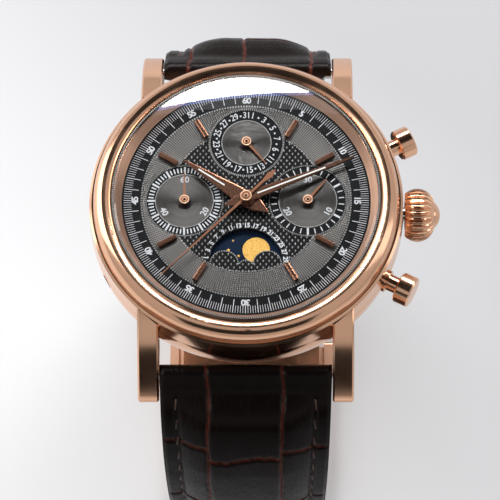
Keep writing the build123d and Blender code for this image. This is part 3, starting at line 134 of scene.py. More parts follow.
# Polished ruby, with painted light and shade: bright pink where one looks into it, dark red at a
# slant.
ruby, tree = finish("synthetic_ruby", {
    "Base Color": linear("C2123F"), "Roughness": 0.06, "IOR": 1.77, "Coat Weight": 0.3})
slant_painted_shade = add(tree, "LayerWeight", {"Blend": 0.4})
add(tree, "ValToRGB", {}, {"Fac": slant_painted_shade.outputs["Facing"]}, [(0.0, "E0285A"), (1.0, "7A0720")],
    feeds="Base Color")
dress(ruby, "jewels")


# Wheels, barrel and balance: brass, cut tooth by tooth and gilded in a bath. Each turns with its
# arbor in the jewels or on a post of the plate.

def mottle(tree, patches, low, high, detail=2.0):
    """Lets the colour wander between two tones of a ramp, with so many patches to a mm."""
    place = add(tree, "TexCoord")
    patch = add(tree, "TexNoise", {"Scale": patches * per_mm, "Detail": detail},
                {"Vector": place.outputs["Object"]})
    add(tree, "ValToRGB", {}, {"Fac": patch.outputs["Fac"]}, [low, high], feeds="Base Color")


# Gilding over the lathe's marks: a warm satin yellow with a fine grain.
gilt_brass, tree = finish("gilt_brass_turned", {
    "Base Color": linear("D9B066"), "Metallic": 1.0, "Roughness": 0.26})
mottle(tree, 2.5, (0.3, "C99D52"), (0.75, "E6C27E"), 3.0)
dress(gilt_brass, "centre_wheel", "third_wheel", "fourth_wheel", "mainspring_barrel",
      "minute_wheel", "hour_wheel", "stopwatch_wheel", "minute_counter_wheel", "date_wheel",
      "balance_wheel")


# Winding works, escapement and cannon pinion: carbon steel, cut or turned, hardened, and polished
# flat on a tin plate. They turn on the plate's posts and in its jewels.

def cloud(tree, patches, low, high, detail=2.0, share=(0.0, 1.0)):
    """Lets the roughness wander from low to high, with so many patches to a mm."""
    place = add(tree, "TexCoord")
    scuff = add(tree, "TexNoise", {"Scale": patches * per_mm, "Detail": detail},
                {"Vector": place.outputs["Object"]})
    add(tree, "MapRange", {"From Min": share[0], "From Max": share[1], "To Min": low,
                           "To Max": high}, {"Value": scuff.outputs["Fac"]}, feeds="Roughness")


# Polished steel: a cold mirror with faint scuffs.
polished_steel, tree = finish("hardened_steel_polished", {
    "Base Color": linear("D0D0D0"), "Metallic": 1.0, "Roughness": 0.14})
cloud(tree, 0.9, 0.09, 0.2, 4.0)
dress(polished_steel, "winding_stem", "winding_pinion", "crown_wheel", "ratchet_wheel",
      "escape_wheel", "pallet_fork", "cannon_pinion")


# Bridge screws and hairspring: carbon steel, polished and then heated until its skin turns blue.
# The screws hold the bridges, and the spring is pinned to the balance and its cock.

# Heat-blued steel: a deep blue mirror, a little uneven as the heat was.
blued_steel, tree = finish("heat_blued_steel", {
    "Base Color": linear("22386E"), "Metallic": 1.0, "Roughness": 0.18})
mottle(tree, 0.5, (0.3, "1B2E66"), (0.7, "35559C"))
dress(blued_steel, "bridge_screws", "hairspring")


# Movement ring: a steel holder, turned and then blasted, that sits round the main plate and is
# clamped between it and the case.

def roughen(tree, grains, strength, depth):
    """Raises a fine grain of the given depth in mm, with so many grains to a mm."""
    place = add(tree, "TexCoord")
    grain = add(tree, "TexNoise", {"Scale": grains * per_mm}, {"Vector": place.outputs["Object"]})
    add(tree, "Bump", {"Strength": strength, "Distance": depth * mm},
        {"Height": grain.outputs["Fac"]}, feeds="Normal")


# Blasted steel: an even grey under any light.
satin_steel, tree = finish("turned_steel_satin", {
    "Base Color": linear("8F8E8C"), "Metallic": 1.0, "Roughness": 0.42})
roughen(tree, 4, 0.3, 0.01)
dress(satin_steel, "movement_ring")


# Moon disc: a brass disc under the dial, lacquered deep blue. Its two moons and the stars are
# stamped from thin gold sheet and glued on.

# Lacquer over brass: nearly black blue, with hardly any gloss.
night, tree = finish("blue_lacquer_on_brass", {
    "Base Color": linear("0A2A44"), "Roughness": 0.3, "Specular IOR Level": 0.2})
mottle(tree, 0.7, (0.3, "04192E"), (0.7, "07223C"), 3.0)
dress(night, "moon_disc")

# Hammered yellow gold: dents about 0.2 mm across, raised by bump; each is painted light in its
# middle and darker towards its rim, as painted light and shade.
moon_gold, tree = finish("yellow_gold_hammered", {
    "Base Color": linear("E0B053"), "Metallic": 0.9, "Roughness": 0.42})
place = add(tree, "TexCoord")
dents_and_painted_shade = add(tree, "TexVoronoi", {"Scale": 5.5 * per_mm}, {"Vector": place.outputs["Object"]})
add(tree, "ValToRGB", {}, {"Fac": dents_and_painted_shade.outputs["Distance"]},
    [(0.1, "EBBE6A"), (0.8, "CB9C4C")], feeds="Base Color")
add(tree, "Bump", {"Strength": 0.5, "Distance": 0.02 * mm},
    {"Height": dents_and_painted_shade.outputs["Distance"]}, feeds="Normal")
dress(moon_gold, "moon_figures")


# Dial plate: brass, stamped with three sunk fields and a window, plated, and fixed by its feet in
# the main plate. The middle is black with raised dots, the band round it has crossed engine-turned
# lines, and the outer track is black lacquer. Sizes are in mm from the dial's middle.

band_inner, band_outer = 9.9, 13.2
dot_across, dot_rows = 0.737, 0.934
dot_width, dot_length = 0.095, 0.17
ray_count = 280.0
circle_pitch = 0.26
sunk_below = 59.95

# Anthracite plating that shines across its engine-turned lines, which are about 0.26 mm apart,
# with raised dots on a dull black ground, painted light grey as their painted highlights.
dial_finish, tree = finish("plated_brass_engine_turned", {
    "Roughness": 0.34, "Specular IOR Level": 0.2})
place = add(tree, "TexCoord")
flat = add(tree, "Mapping", {"Scale": (per_mm, per_mm, 0)}, {"Vector": place.outputs["Object"]},
           feeds="Tangent")
parts = add(tree, "SeparateXYZ", {}, {"Vector": flat.outputs[0]})
radius = add(tree, "VectorMath", {"operation": "LENGTH"}, {0: flat.outputs[0]})
angle = add(tree, "Math", {"operation": "ARCTAN2"}, {0: parts.outputs["Y"], 1: parts.outputs["X"]})
# Two lattices of dots, one set between the other.
dots = []
for shift in (0.0, 0.5):
    cells = add(tree, "Mapping", {"Location": (shift, shift, 0),
                                  "Scale": (per_mm / dot_across, per_mm / dot_rows, 0)},
                {"Vector": place.outputs["Object"]})
    inside = add(tree, "VectorMath", {"operation": "FRACTION"}, {0: cells.outputs[0]})
    middle = add(tree, "VectorMath", {"operation": "SUBTRACT", 1: (0.5, 0.5, 0)},
                 {0: inside.outputs[0]})
    oval = add(tree, "VectorMath", {
        "operation": "MULTIPLY", 1: (dot_across / dot_width, dot_rows / dot_length, 0)},
        {0: middle.outputs[0]})
    reach = add(tree, "VectorMath", {"operation": "LENGTH"}, {0: oval.outputs[0]})
    dots.append(add(tree, "MapRange", {"From Min": 1.15, "From Max": 0.6},
                    {"Value": reach.outputs["Value"]}))
dot = add(tree, "Math", {"operation": "MAXIMUM"}, {0: dots[0].outputs[0], 1: dots[1].outputs[0]})
# The band's rays and circles.
turn = add(tree, "Math", {"operation": "MULTIPLY", 1: ray_count}, {0: angle.outputs[0]})
rays = add(tree, "Math", {"operation": "SINE"}, {0: turn.outputs[0]})
steps = add(tree, "Math", {"operation": "MULTIPLY", 1: 2 * pi / circle_pitch},
            {0: radius.outputs["Value"]})
circles = add(tree, "Math", {"operation": "SINE"}, {0: steps.outputs[0]})
weave = add(tree, "Math", {"operation": "MULTIPLY_ADD", 1: 0.5},
            {0: circles.outputs[0], 2: rays.outputs[0]})
# Where each of them lies; the sunk fields stay black.
band = add(tree, "Math", {"operation": "COMPARE", 1: (band_inner + band_outer) / 2,
                          2: (band_outer - band_inner) / 2}, {0: radius.outputs["Value"]})
centre = add(tree, "Math", {"operation": "LESS_THAN", 1: band_inner}, {0: radius.outputs["Value"]})
level = add(tree, "SeparateXYZ", {}, {"Vector": place.outputs["Object"]})
face = add(tree, "Math", {"operation": "GREATER_THAN", 1: sunk_below * mm},
           {0: level.outputs["Z"]})
on_band = add(tree, "Math", {"operation": "MULTIPLY"}, {0: band.outputs[0], 1: face.outputs[0]})
in_middle = add(tree, "Math", {"operation": "MULTIPLY"}, {0: centre.outputs[0], 1: face.outputs[0]})
on_dot_painted_highlight = add(tree, "Math", {"operation": "MULTIPLY"}, {0: dot.outputs[0], 1: in_middle.outputs[0]})
# Colour: the band's lines, and the dots painted light grey as painted highlights.
weave_tone = add(tree, "MapRange", {"From Min": -1.5, "From Max": 1.5},
                 {"Value": weave.outputs[0]})
weave_colour = add(tree, "ValToRGB", {}, {"Fac": weave_tone.outputs[0]},
                   [(0.15, "353331"), (0.85, "6E6B68")])
ground = add(tree, "Mix", {"data_type": "RGBA", 6: linear("060607")},
             {0: on_band.outputs[0], 7: weave_colour.outputs["Color"]})
add(tree, "Mix", {"data_type": "RGBA", 7: linear("8E8C8A")},
    {0: on_dot_painted_highlight.outputs[0], 6: ground.outputs[2]}, feeds="Base Color", output=2)
# Bare metal on the band and the dots, drawn-out gloss on the band only.
add(tree, "Math", {"operation": "MAXIMUM"}, {0: on_band.outputs[0], 1: on_dot_painted_highlight.outputs[0]},
    feeds="Metallic")
add(tree, "Math", {"operation": "MULTIPLY", 1: 0.85}, {0: on_band.outputs[0]}, feeds="Anisotropic")
# Relief.
weave_height = add(tree, "Math", {"operation": "MULTIPLY"},
                   {0: weave.outputs[0], 1: on_band.outputs[0]})
height = add(tree, "Math", {"operation": "MULTIPLY_ADD", 1: 3.0},
             {0: on_dot_painted_highlight.outputs[0], 2: weave_height.outputs[0]})
add(tree, "Bump", {"Strength": 0.4, "Distance": 0.02 * mm}, {"Height": height.outputs[0]},
    feeds="Normal")
dress(dial_finish, "dial")


# Dial printing: white lacquer, pressed on with a silicone pad, slightly raised. The outer track
# has five strokes a second, a longer one at each second and a number every five seconds.

dial_face = 60.0


def start(kind, name, **settings):
    """Adds a primitive or a text with nothing else selected, and names it."""
    bpy.ops.object.select_all(action="DESELECT")
    kind(**settings)
    piece = bpy.context.object
    piece.name = name
    return piece


def settle(piece, look, body):
    """Applies the piece's place, gives it its material and lets it ride on its body."""
    bpy.ops.object.select_all(action="DESELECT")
    piece.select_set(True)
    bpy.context.view_layer.objects.active = piece
    bpy.ops.object.transform_apply(location=True, rotation=True, scale=True)
    piece.data.materials.clear()
    piece.data.materials.append(look)
    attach(piece, body)
    return piece


def ticks(name, inner, outer, width, count, low, thick, x=0.0, y=0.0):
    """Strokes all round a circle: one is drawn at the top and repeated by spinning. Sizes in mm."""
    middle = (x * mm, y * mm, low * mm)
    piece = start(bpy.ops.mesh.primitive_plane_add, name, size=1.0, enter_editmode=True,
                  location=middle)
    bpy.ops.mesh.select_all(action="SELECT")
    bpy.ops.transform.resize(value=((outer - inner) * mm, width * mm, 1), center_override=middle)
    bpy.ops.transform.translate(value=((inner + outer) / 2 * mm, 0, 0))
    bpy.ops.mesh.extrude_region_move(TRANSFORM_OT_translate={"value": (0, 0, thick * mm)})
    bpy.ops.mesh.select_all(action="SELECT")
    bpy.ops.transform.rotate(value=-radians(90), orient_axis="Z", center_override=middle)
    bpy.ops.mesh.normals_make_consistent()
    bpy.ops.mesh.spin(steps=count - 1, dupli=True, angle=2 * pi * (count - 1) / count,
                      center=middle, axis=(0, 0, 1))
    bpy.ops.object.mode_set(mode="OBJECT")
    return piece


def joined(made, name):
    """Joins the pieces into the first one, and names it."""
    bpy.ops.object.select_all(action="DESELECT")
    for piece in made:
        piece.select_set(True)
    bpy.context.view_layer.objects.active = made[0]
    bpy.ops.object.transform_apply(location=True, rotation=True, scale=True)
    bpy.ops.object.join()
    made[0].name = name
    return made[0]


def numbers(name, entries, size, low, thick, fat=0.0, x=0.0, y=0.0, squeeze=1.0):
    """Printed numbers: each is (text, radius, direction, turn), in mm and degrees."""
    made = []
    for text, reach, direction, turn in entries:
        spot = (x * mm + reach * mm * cos(radians(direction)),
                y * mm + reach * mm * sin(radians(direction)), low * mm)
        piece = start(bpy.ops.object.text_add, name, location=spot, rotation=(0, 0, radians(turn)))
        piece.data.body = text
        piece.data.size = size * mm
        piece.data.align_x = "CENTER"
        piece.data.align_y = "CENTER"
        piece.data.offset = fat * mm
        piece.data.extrude = thick / 2 * mm
        piece.data.resolution_u = 3
        piece.scale = (squeeze, 1, 1)
        bpy.ops.object.convert(target="MESH")
        made.append(bpy.context.object)
    return joined(made, name)


# White lacquer, a little uneven where the pad left it thin.
white_print, tree = finish("white_dial_lacquer", {
    "Base Color": linear("E9E9EA"), "Roughness": 0.4, "Coat Weight": 0.2})
mottle(tree, 5, (0.3, "CCCCCE"), (0.7, "E4E4E5"))

settle(ticks("second_fifths", 14.6, 15.6, 0.055, 300, dial_face, 0.012), white_print, "case")
settle(ticks("second_strokes", 13.75, 15.6, 0.085, 60, dial_face, 0.014), white_print, "case")
seconds = [(str(second), 14.12, 90 - second * 6, -second * 6) for second in range(5, 65, 5)]
settle(numbers("second_numbers", seconds, 1.15, 60.02, 0.012, fat=0.03), white_print, "case")


# Bead rings: brass wire, rolled to a coin edge, rhodium plated and pressed into the plate, one
# between track and band, and one inside the band that stops at the small dials.

seconds_x, counter_x, date_y = -7.85, 7.85, 8.2


def trimmed(piece, keep):
    """Deletes the faces whose middle, in mm, isn't kept."""
    bpy.ops.object.mode_set(mode="EDIT")
    bpy.ops.mesh.select_mode(type="FACE")
    bpy.ops.mesh.select_all(action="DESELECT")
    bpy.ops.object.mode_set(mode="OBJECT")
    for face in piece.data.polygons:
        spot = piece.location + face.center
        face.select = not keep(spot.x / mm, spot.y / mm)
    bpy.ops.object.mode_set(mode="EDIT")
    bpy.ops.mesh.delete(type="FACE")
    bpy.ops.mesh.select_mode(type="VERT")
    bpy.ops.object.mode_set(mode="OBJECT")
    return piece


def off_small_dials(x, y):
    return hypot(abs(x) - counter_x, y) > 5.05 and hypot(x, y - date_y) > 4.95


# Rhodium over rolled brass: small soft glints on grey.
bright_metal, tree = finish("rhodium_plated_edge", {
    "Base Color": linear("B9B7B3"), "Metallic": 1.0, "Roughness": 0.3})
cloud(tree, 4, 0.22, 0.4)

settle(ticks("track_bead_ring", 13.24, 13.43, 0.2, 240, dial_face, 0.05), bright_metal, "case")
edge_ring = ticks("band_edge_ring", 9.82, 9.94, 0.16, 150, dial_face, 0.03)
settle(trimmed(edge_ring, off_small_dials), bright_metal, "case")


# Small dials: turned brass discs let into the sunk fields, with a silvery edge line and a notched
# rim of rhodium. Their strokes and numbers are printed as the outer track's are.

disc_face, sunk_face = 59.87, 59.905


def brushed_disc(name, x, y):
    """Anthracite plating, circular-brushed round the given middle in mm: light turns round it."""
    look, tree = finish(name, {
        "Base Color": linear("64615E"), "Metallic": 1.0, "Roughness": 0.28, "Anisotropic": 0.93})
    place = add(tree, "TexCoord")
    flat = add(tree, "Mapping", {"Location": (-x, -y, 0), "Scale": (per_mm, per_mm, 0)},
               {"Vector": place.outputs["Object"]}, feeds="Tangent")
    reach = add(tree, "VectorMath", {"operation": "LENGTH"}, {0: flat.outputs[0]})
    # Real marks are a hundredth of a millimetre apart; these are drawn coarser, so they show.
    marks = add(tree, "TexNoise", {"noise_dimensions": "1D", "Scale": 2.2, "Detail": 1.0},
                {"W": reach.outputs["Value"]})
    add(tree, "ValToRGB", {}, {"Fac": marks.outputs["Fac"]},
        [(0.3, "64615E"), (0.7, "6B6865")], feeds="Base Color")
    return look


def flat_ring(name, inner, outer, low, thick, x=0.0, y=0.0, sides=96):
    """A thin ring: a circle, drawn outwards once and given its thickness. Sizes in mm."""
    middle = (x * mm, y * mm, low * mm)
    piece = start(bpy.ops.mesh.primitive_circle_add, name, vertices=sides, radius=inner * mm,
                  location=middle, enter_editmode=True)
    bpy.ops.mesh.select_all(action="SELECT")
    bpy.ops.mesh.extrude_edges_move()
    bpy.ops.transform.resize(value=(outer / inner, outer / inner, 1), center_override=middle)
    bpy.ops.mesh.select_all(action="SELECT")
    bpy.ops.mesh.extrude_region_move(TRANSFORM_OT_translate={"value": (0, 0, thick * mm)})
    bpy.ops.mesh.select_all(action="SELECT")
    bpy.ops.mesh.normals_make_consistent()
    bpy.ops.object.mode_set(mode="OBJECT")
    return piece


for name, x, y, disc_radius, rim_inner, rim_outer in (
        ("seconds_dial", seconds_x, 0.0, 3.68, 4.82, 4.98),
        ("minutes_dial", counter_x, 0.0, 3.68, 4.82, 4.98),
        ("date_dial", 0.0, date_y, 3.15, 4.6, 4.85)):
    disc = flat_ring(name + "_disc", 0.45, disc_radius, 59.845, 0.02, x, y)
    settle(disc, brushed_disc("anthracite_brushed_" + name, x, y), "case")
    line = flat_ring(name + "_line", disc_radius - 0.04, disc_radius + 0.06, 59.855, 0.05, x, y)
    settle(line, bright_metal, "case")
    settle(ticks(name + "_rim", rim_inner, rim_outer, 0.12, 120, 59.9, 0.1, x, y), bright_metal,
           "case")

# Strokes are given by inner and outer radius, width and how many there are.
for name, x, strokes, fives, texts in (
        ("small_second", seconds_x, (3.95, 4.62, 0.17, 60), (3.75, 4.75, 0.25, 12),
         ("60", "20", "40")),
        ("counter", counter_x, (3.95, 4.65, 0.13, 30), (3.8, 4.75, 0.26, 6),
         ("30", "10", "20"))):
    settle(ticks(name + "_strokes", *strokes, sunk_face, 0.012, x), white_print, "case")
    settle(ticks(name + "_fives", *fives, sunk_face, 0.014, x), white_print, "case")
    thirds = zip(texts, (2.95, 3.0, 3.0), (90, -30, 210), (0, 60, -60))
    settle(numbers(name + "_numbers", thirds, 1.15, disc_face, 0.012, 0.02, x), white_print,
           "case")

# Odd days are numbers, upright in the upper half.
day_step = 360 / 31
dates = []
for day in range(1, 32, 2):
    direction = 90 - (day - 31) * day_step
    upright = day >= 25 or day <= 7
    dates.append((str(day), 3.9, direction, direction - 90 if upright else direction + 90))
settle(numbers("date_numbers", dates, 1.22, sunk_face, 0.012, 0.015, 0.0, date_y, 0.82),
       white_print, "case")

# Dots stand for the even days: one dot drawn at the second and repeated every other day.
date_middle = (0, date_y * mm, 0)
dots = start(bpy.ops.mesh.primitive_circle_add, "date_dots", vertices=10, radius=0.13 * mm,
             fill_type="NGON", location=(0, 12.05 * mm, sunk_face * mm), enter_editmode=True)
bpy.ops.mesh.select_all(action="SELECT")
bpy.ops.mesh.extrude_region_move(TRANSFORM_OT_translate={"value": (0, 0, 0.012 * mm)})
bpy.ops.mesh.select_all(action="SELECT")
bpy.ops.transform.rotate(value=radians(2 * day_step), orient_axis="Z",
                         center_override=date_middle)
bpy.ops.mesh.normals_make_consistent()
bpy.ops.mesh.spin(steps=14, dupli=True, angle=radians(28 * day_step), center=date_middle,
                  axis=(0, 0, 1))
bpy.ops.object.mode_set(mode="OBJECT")
settle(dots, white_print, "case")


# Moon window: a rolled rope edge lies along its three bumps, and the age of the moon in days is
# printed round its arch, from new moon at the left to new moon at the right.

arch_y, bump_x, bump_y, small_bump_y = -8.5, 2.73, -8.8, -9.2
rope_outside = 1.8


def over_sill(x, y):
    return y > bump_y and hypot(x, y - arch_y) < 4.6


def between_bumps(x, y):
    return over_sill(x, y) and hypot(abs(x) - bump_x, y - bump_y) > rope_outside


for name, inner, outer, count, x, y, keep in (
        ("rope_left", 1.7, 1.84, 36, -bump_x, bump_y, over_sill),
        ("rope_right", 1.7, 1.84, 36, bump_x, bump_y, over_sill),
        ("rope_middle", 0.83, 0.97, 19, 0.0, small_bump_y, between_bumps)):
    rope = ticks(name, inner, outer, 0.17, count, dial_face, 0.04, x, y)
    settle(trimmed(rope, keep), bright_metal, "case")

moon_days = []
for day in range(1, 30, 2):
    direction = 180 - day * 180 / 29.5
    moon_days.append((str(day), 5.03, direction, direction - 90))
settle(numbers("moon_day_numbers", moon_days, 0.86, dial_face, 0.014, 0.03, 0.0, arch_y, 0.9),
       white_print, "case")


# Hour markers and hands: rose gold, stamped, faceted and brushed along their length. The markers'
# feet go through the plate, and each hand's hub is pressed on its arbor.

# Brushed rose gold, painted dark brown as a painted reflection of the dark studio, with a fine
# grain.
hand_gold_painted_dark, tree = finish("rose_gold_brushed_painted_dark", {
    "Base Color": linear("8E654F"), "Metallic": 1.0, "Roughness": 0.26})
mottle(tree, 4.5, (0.3, "7E5845"), (0.7, "9C705A"), 3.0)
dress(hand_gold_painted_dark, "hour_markers", "hour_hand", "minute_hand")

# The thin hands are rounded and softer in their gloss, so they pass light on from all round; their
# colour is painted darker than the case's gold, as painted shade.
needle_gold_painted_dark, tree = finish("rose_gold_needle_painted_dark", {
    "Base Color": linear("A06E54"), "Metallic": 1.0, "Roughness": 0.34})
roughen(tree, 3, 0.2, 0.01)
dress(needle_gold_painted_dark, "stopwatch_hand", "small_seconds_hand", "minute_counter_hand", "date_hand")

# White lume paste: chalky, with a fine grain, that fills the groove of the two broad hands.
lume, tree = finish("white_lume_paste", {"Base Color": linear("F2F0EA"), "Roughness": 0.6})
roughen(tree, 5, 0.3, 0.01)

# Each groove lies between two reaches and two heights, so many degrees past 12 o'clock.
for name, inner, outer, low, high, clock, body in (
        ("hour_hand_lume", 3.3, 7.35, 60.64, 60.69, 304.0, "hour_group"),
        ("minute_hand_lume", 1.55, 10.95, 60.94, 60.99, 67.3, "minute_group")):
    filling = start(bpy.ops.mesh.primitive_cube_add, name, size=1.0, enter_editmode=True,
                    location=(0, 0, 0))
    bpy.ops.mesh.select_all(action="SELECT")
    bpy.ops.transform.resize(value=(0.2 * mm, (outer - inner) * mm, (high - low) * mm),
                             center_override=(0, 0, 0))
    bpy.ops.transform.translate(value=(0, (inner + outer) / 2 * mm, (high + low) / 2 * mm))
    bpy.ops.mesh.select_all(action="SELECT")
    bpy.ops.mesh.bevel(offset=0.02 * mm, segments=2)
    bpy.ops.mesh.select_all(action="SELECT")
    bpy.ops.transform.rotate(value=radians(clock), orient_axis="Z", center_override=(0, 0, 0))
    bpy.ops.object.mode_set(mode="OBJECT")
    settle(filling, lume, body)


# Hub rims: every thin hand's hub has a polished rose gold rim and a small collar, both turned and
# pressed on, round the end of the steel arbor.

def soft_ring(name, inner, outer, low, thick, x, y, body, look):
    """A ring with rounded edges. Sizes in mm."""
    piece = flat_ring(name, inner, outer, low, thick, x, y, 40)
    bpy.ops.object.mode_set(mode="EDIT")
    bpy.ops.mesh.select_all(action="SELECT")
    bpy.ops.mesh.bevel(offset=min(thick, outer - inner) * 0.35 * mm, segments=2)
    bpy.ops.mesh.select_all(action="SELECT")
    # Recalculating can turn faces this small inwards, so the ring's volume is what tells.
    if bmesh.from_edit_mesh(piece.data).calc_volume(signed=True) < 0:
        bpy.ops.mesh.flip_normals()
    bpy.ops.object.mode_set(mode="OBJECT")
    bpy.ops.object.shade_smooth_by_angle(angle=radians(50))
    return settle(piece, look, body)


# Polished rose gold, painted lighter than the case's gold as a painted highlight: a light line all
# round.
rim_gold_painted_light, tree = finish("rose_gold_polished_rim_painted_light", {
    "Base Color": linear("F2C2A0"), "Metallic": 1.0, "Roughness": 0.3})
cloud(tree, 2.5, 0.25, 0.38)

# Steel with a film of old oil: a dark red-brown point.
arbor_end, tree = finish("steel_arbor_end_oiled", {
    "Base Color": linear("6A2A1C"), "Metallic": 1.0, "Roughness": 0.35})
mottle(tree, 2.5, (0.3, "4A1A12"), (0.7, "7E3422"))

for hand, hub, top, x, y, body in (
        ("stopwatch_hand", 0.72, 61.5, 0.0, 0.0, "stopwatch_group"),
        ("small_seconds_hand", 0.62, 60.38, seconds_x, 0.0, "fourth_wheel"),
        ("minute_counter_hand", 0.62, 60.38, counter_x, 0.0, "minute_counter"),
        ("date_hand", 0.62, 60.38, 0.0, date_y, "date_group")):
    soft_ring(hand + "_rim", hub - 0.13, hub, top, 0.05, x, y, body, rim_gold_painted_light)
    soft_ring(hand + "_collar", 0.17, 0.32, top, 0.09, x, y, body, rim_gold_painted_light)
    soft_ring(hand + "_arbor", 0.02, 0.16, top, 0.05, x, y, body, arbor_end)


# Case: mid case with its lugs, bezel and case back of 18 carat rose gold, milled, turned and
# polished on felt wheels. The movement sits in it, held by the flange ring under the crystal.

# Polished rose gold: a warm mirror, with a faint haze from the felt.
rose_gold, tree = finish("rose_gold_polished", {
    "Base Color": linear("E6B594"), "Metallic": 1.0, "Roughness": 0.15})
cloud(tree, 0.26, 0.13, 0.2, 5.0, (0.3, 0.7))
dress(rose_gold, "mid_case", "bezel", "case_back")
dress(polished_steel, "case_back_screws")

# Satin rose gold, brushed in circles round the dial's middle: soft, with drawn-out lights.
satin_gold, tree = finish("rose_gold_satin", {
    "Base Color": linear("C9957A"), "Metallic": 1.0, "Roughness": 0.34, "Anisotropic": 0.6})
place = add(tree, "TexCoord")
flat = add(tree, "Mapping", {"Scale": (per_mm, per_mm, 0)}, {"Vector": place.outputs["Object"]},
           feeds="Tangent")
reach = add(tree, "VectorMath", {"operation": "LENGTH"}, {0: flat.outputs[0]})
marks = add(tree, "TexNoise", {"noise_dimensions": "1D", "Scale": 12.0, "Detail": 3.0},
            {"W": reach.outputs["Value"]})
add(tree, "ValToRGB", {}, {"Fac": marks.outputs["Fac"]}, [(0.3, "C39478"), (0.7, "E2B79C")],
    feeds="Base Color")
dress(satin_gold, "flange_ring")


# Crown, push-pieces and correctors: rose gold, turned, grooved and polished, on tubes pressed into
# the flank. The crown's tube is steel, the push-pieces run in gold collars, and the correctors
# are steel pins sunk in the flank.

dress(rose_gold, "crown", "pusher_upper", "pusher_lower")
dress(polished_steel, "date_corrector", "moon_corrector")

# Polished steel near the crown, polished rose gold from 4 mm to each side of it.
tube_metal, tree = finish("steel_and_rose_gold_tubes", {
    "Metallic": 1.0, "Roughness": 0.14})
place = add(tree, "TexCoord")
parts = add(tree, "SeparateXYZ", {}, {"Vector": place.outputs["Object"]})
aside = add(tree, "Math", {"operation": "ABSOLUTE"}, {0: parts.outputs["Y"]})
gilt = add(tree, "Math", {"operation": "GREATER_THAN", 1: 4 * mm}, {0: aside.outputs[0]})
add(tree, "Mix", {"data_type": "RGBA", 6: linear("D0D0D0"), 7: linear("E6B594")},
    {0: gilt.outputs[0]}, feeds="Base Color", output=2)
dress(tube_metal, "case_tubes")


# Gaskets: black nitrile rubber rings, moulded and pressed into their seats under the crystal, in
# the case back and in the crown.

# Moulded rubber: dull black with a fine grain.
rubber, tree = finish("nitrile_rubber_moulded", {
    "Base Color": linear("1A1A1B"), "Roughness": 0.55})
roughen(tree, 3, 0.4, 0.02)
dress(rubber, "case_gaskets", "crown_gasket")


# Crystal and back window: synthetic sapphire, sawn, domed and polished. The crystal is pressed in
# its gasket and held by a serrated tension ring, of which a thin line of teeth shows.

# Polished sapphire: clear, with a mirror's lights. A thin dome bends light too little to see, so
# only its polished surface has sapphire's index. Lamps shine through it onto the dial.
sapphire, tree = finish("sapphire_polished", {
    "Base Color": linear("FFFFFF"), "Roughness": 0.0, "IOR": 1.0, "Transmission Weight": 1.0,
    "Coat Weight": 1.0, "Coat IOR": 1.77, "Coat Roughness": 0.0})
clear = add(tree, "BsdfTransparent", {"Color": linear("FCFDFE")})
ray = add(tree, "LightPath")
bounced = add(tree, "Math", {"operation": "ADD"},
              {0: ray.outputs["Is Glossy Ray"], 1: ray.outputs["Is Diffuse Ray"]})
passed = add(tree, "Math", {"operation": "ADD", "use_clamp": True},
             {0: bounced.outputs[0], 1: ray.outputs["Is Shadow Ray"]})
both = add(tree, "MixShader", {}, {
    "Fac": passed.outputs[0], 1: tree.nodes["Principled BSDF"].outputs[0], 2: clear.outputs[0]})
tree.links.new(both.outputs[0], tree.nodes["Material Output"].inputs["Surface"])
dress(sapphire, "case_back_glass")


def cap_points(rim, rim_height, top, steps):
    """Points of a round cap from its middle out to its rim. Sizes in mm."""
    middle = 0.2
    rise = top - rim_height
    bend = (rim ** 2 + rise ** 2) / (2 * rise)
    points = []
    for step in range(steps + 1):
        reach = middle + (rim - middle) * step / steps
        points.append((reach, top - bend + sqrt(bend ** 2 - reach ** 2)))
    return points


def spun(name, profile, sides):
    """A turned piece: a filled circle, drawn on from point to point of its profile, in mm."""
    piece = start(bpy.ops.mesh.primitive_circle_add, name, vertices=sides, fill_type="NGON",
                  radius=profile[0][0] * mm, location=(0, 0, profile[0][1] * mm),
                  enter_editmode=True)
    bpy.ops.mesh.select_all(action="SELECT")
    for (inner, low), (outer, high) in zip(profile, profile[1:]):
        bpy.ops.mesh.extrude_edges_move()
        bpy.ops.transform.resize(value=(outer / inner, outer / inner, 1),
                                 center_override=(0, 0, 0))
        bpy.ops.transform.translate(value=(0, 0, (high - low) * mm))
    bpy.ops.mesh.edge_face_add()
    bpy.ops.mesh.select_all(action="SELECT")
    bpy.ops.mesh.normals_make_consistent(inside=False)
    bpy.ops.object.mode_set(mode="OBJECT")
    bpy.ops.object.shade_smooth_by_angle(angle=radians(25))
    return piece


# The crystal's facets have to be even and small: a mirrored edge breaks up on any others.
hollow = cap_points(15.9, 61.4, 62.25, 24)
foot = [(16.2, 61.1), (16.85, 61.1), (16.85, 61.7)]
dome = cap_points(16.55, 62.0, 63.25, 40)
crystal = spun("crystal_fine", hollow + foot + dome[::-1], 192)
settle(crystal, sapphire, "case")
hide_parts("crystal")

settle(ticks("crystal_tension_ring", 16.88, 17.04, 0.14, 400, 61.62, 0.03), bright_metal, "case")


# Strap: each half is two layers of calf leather over a foam pad, the upper one stamped with large
# square scales. It is folded round its spring bar and its clasp pin and glued. Sizes are in mm.

dress(polished_steel, "spring_bars")

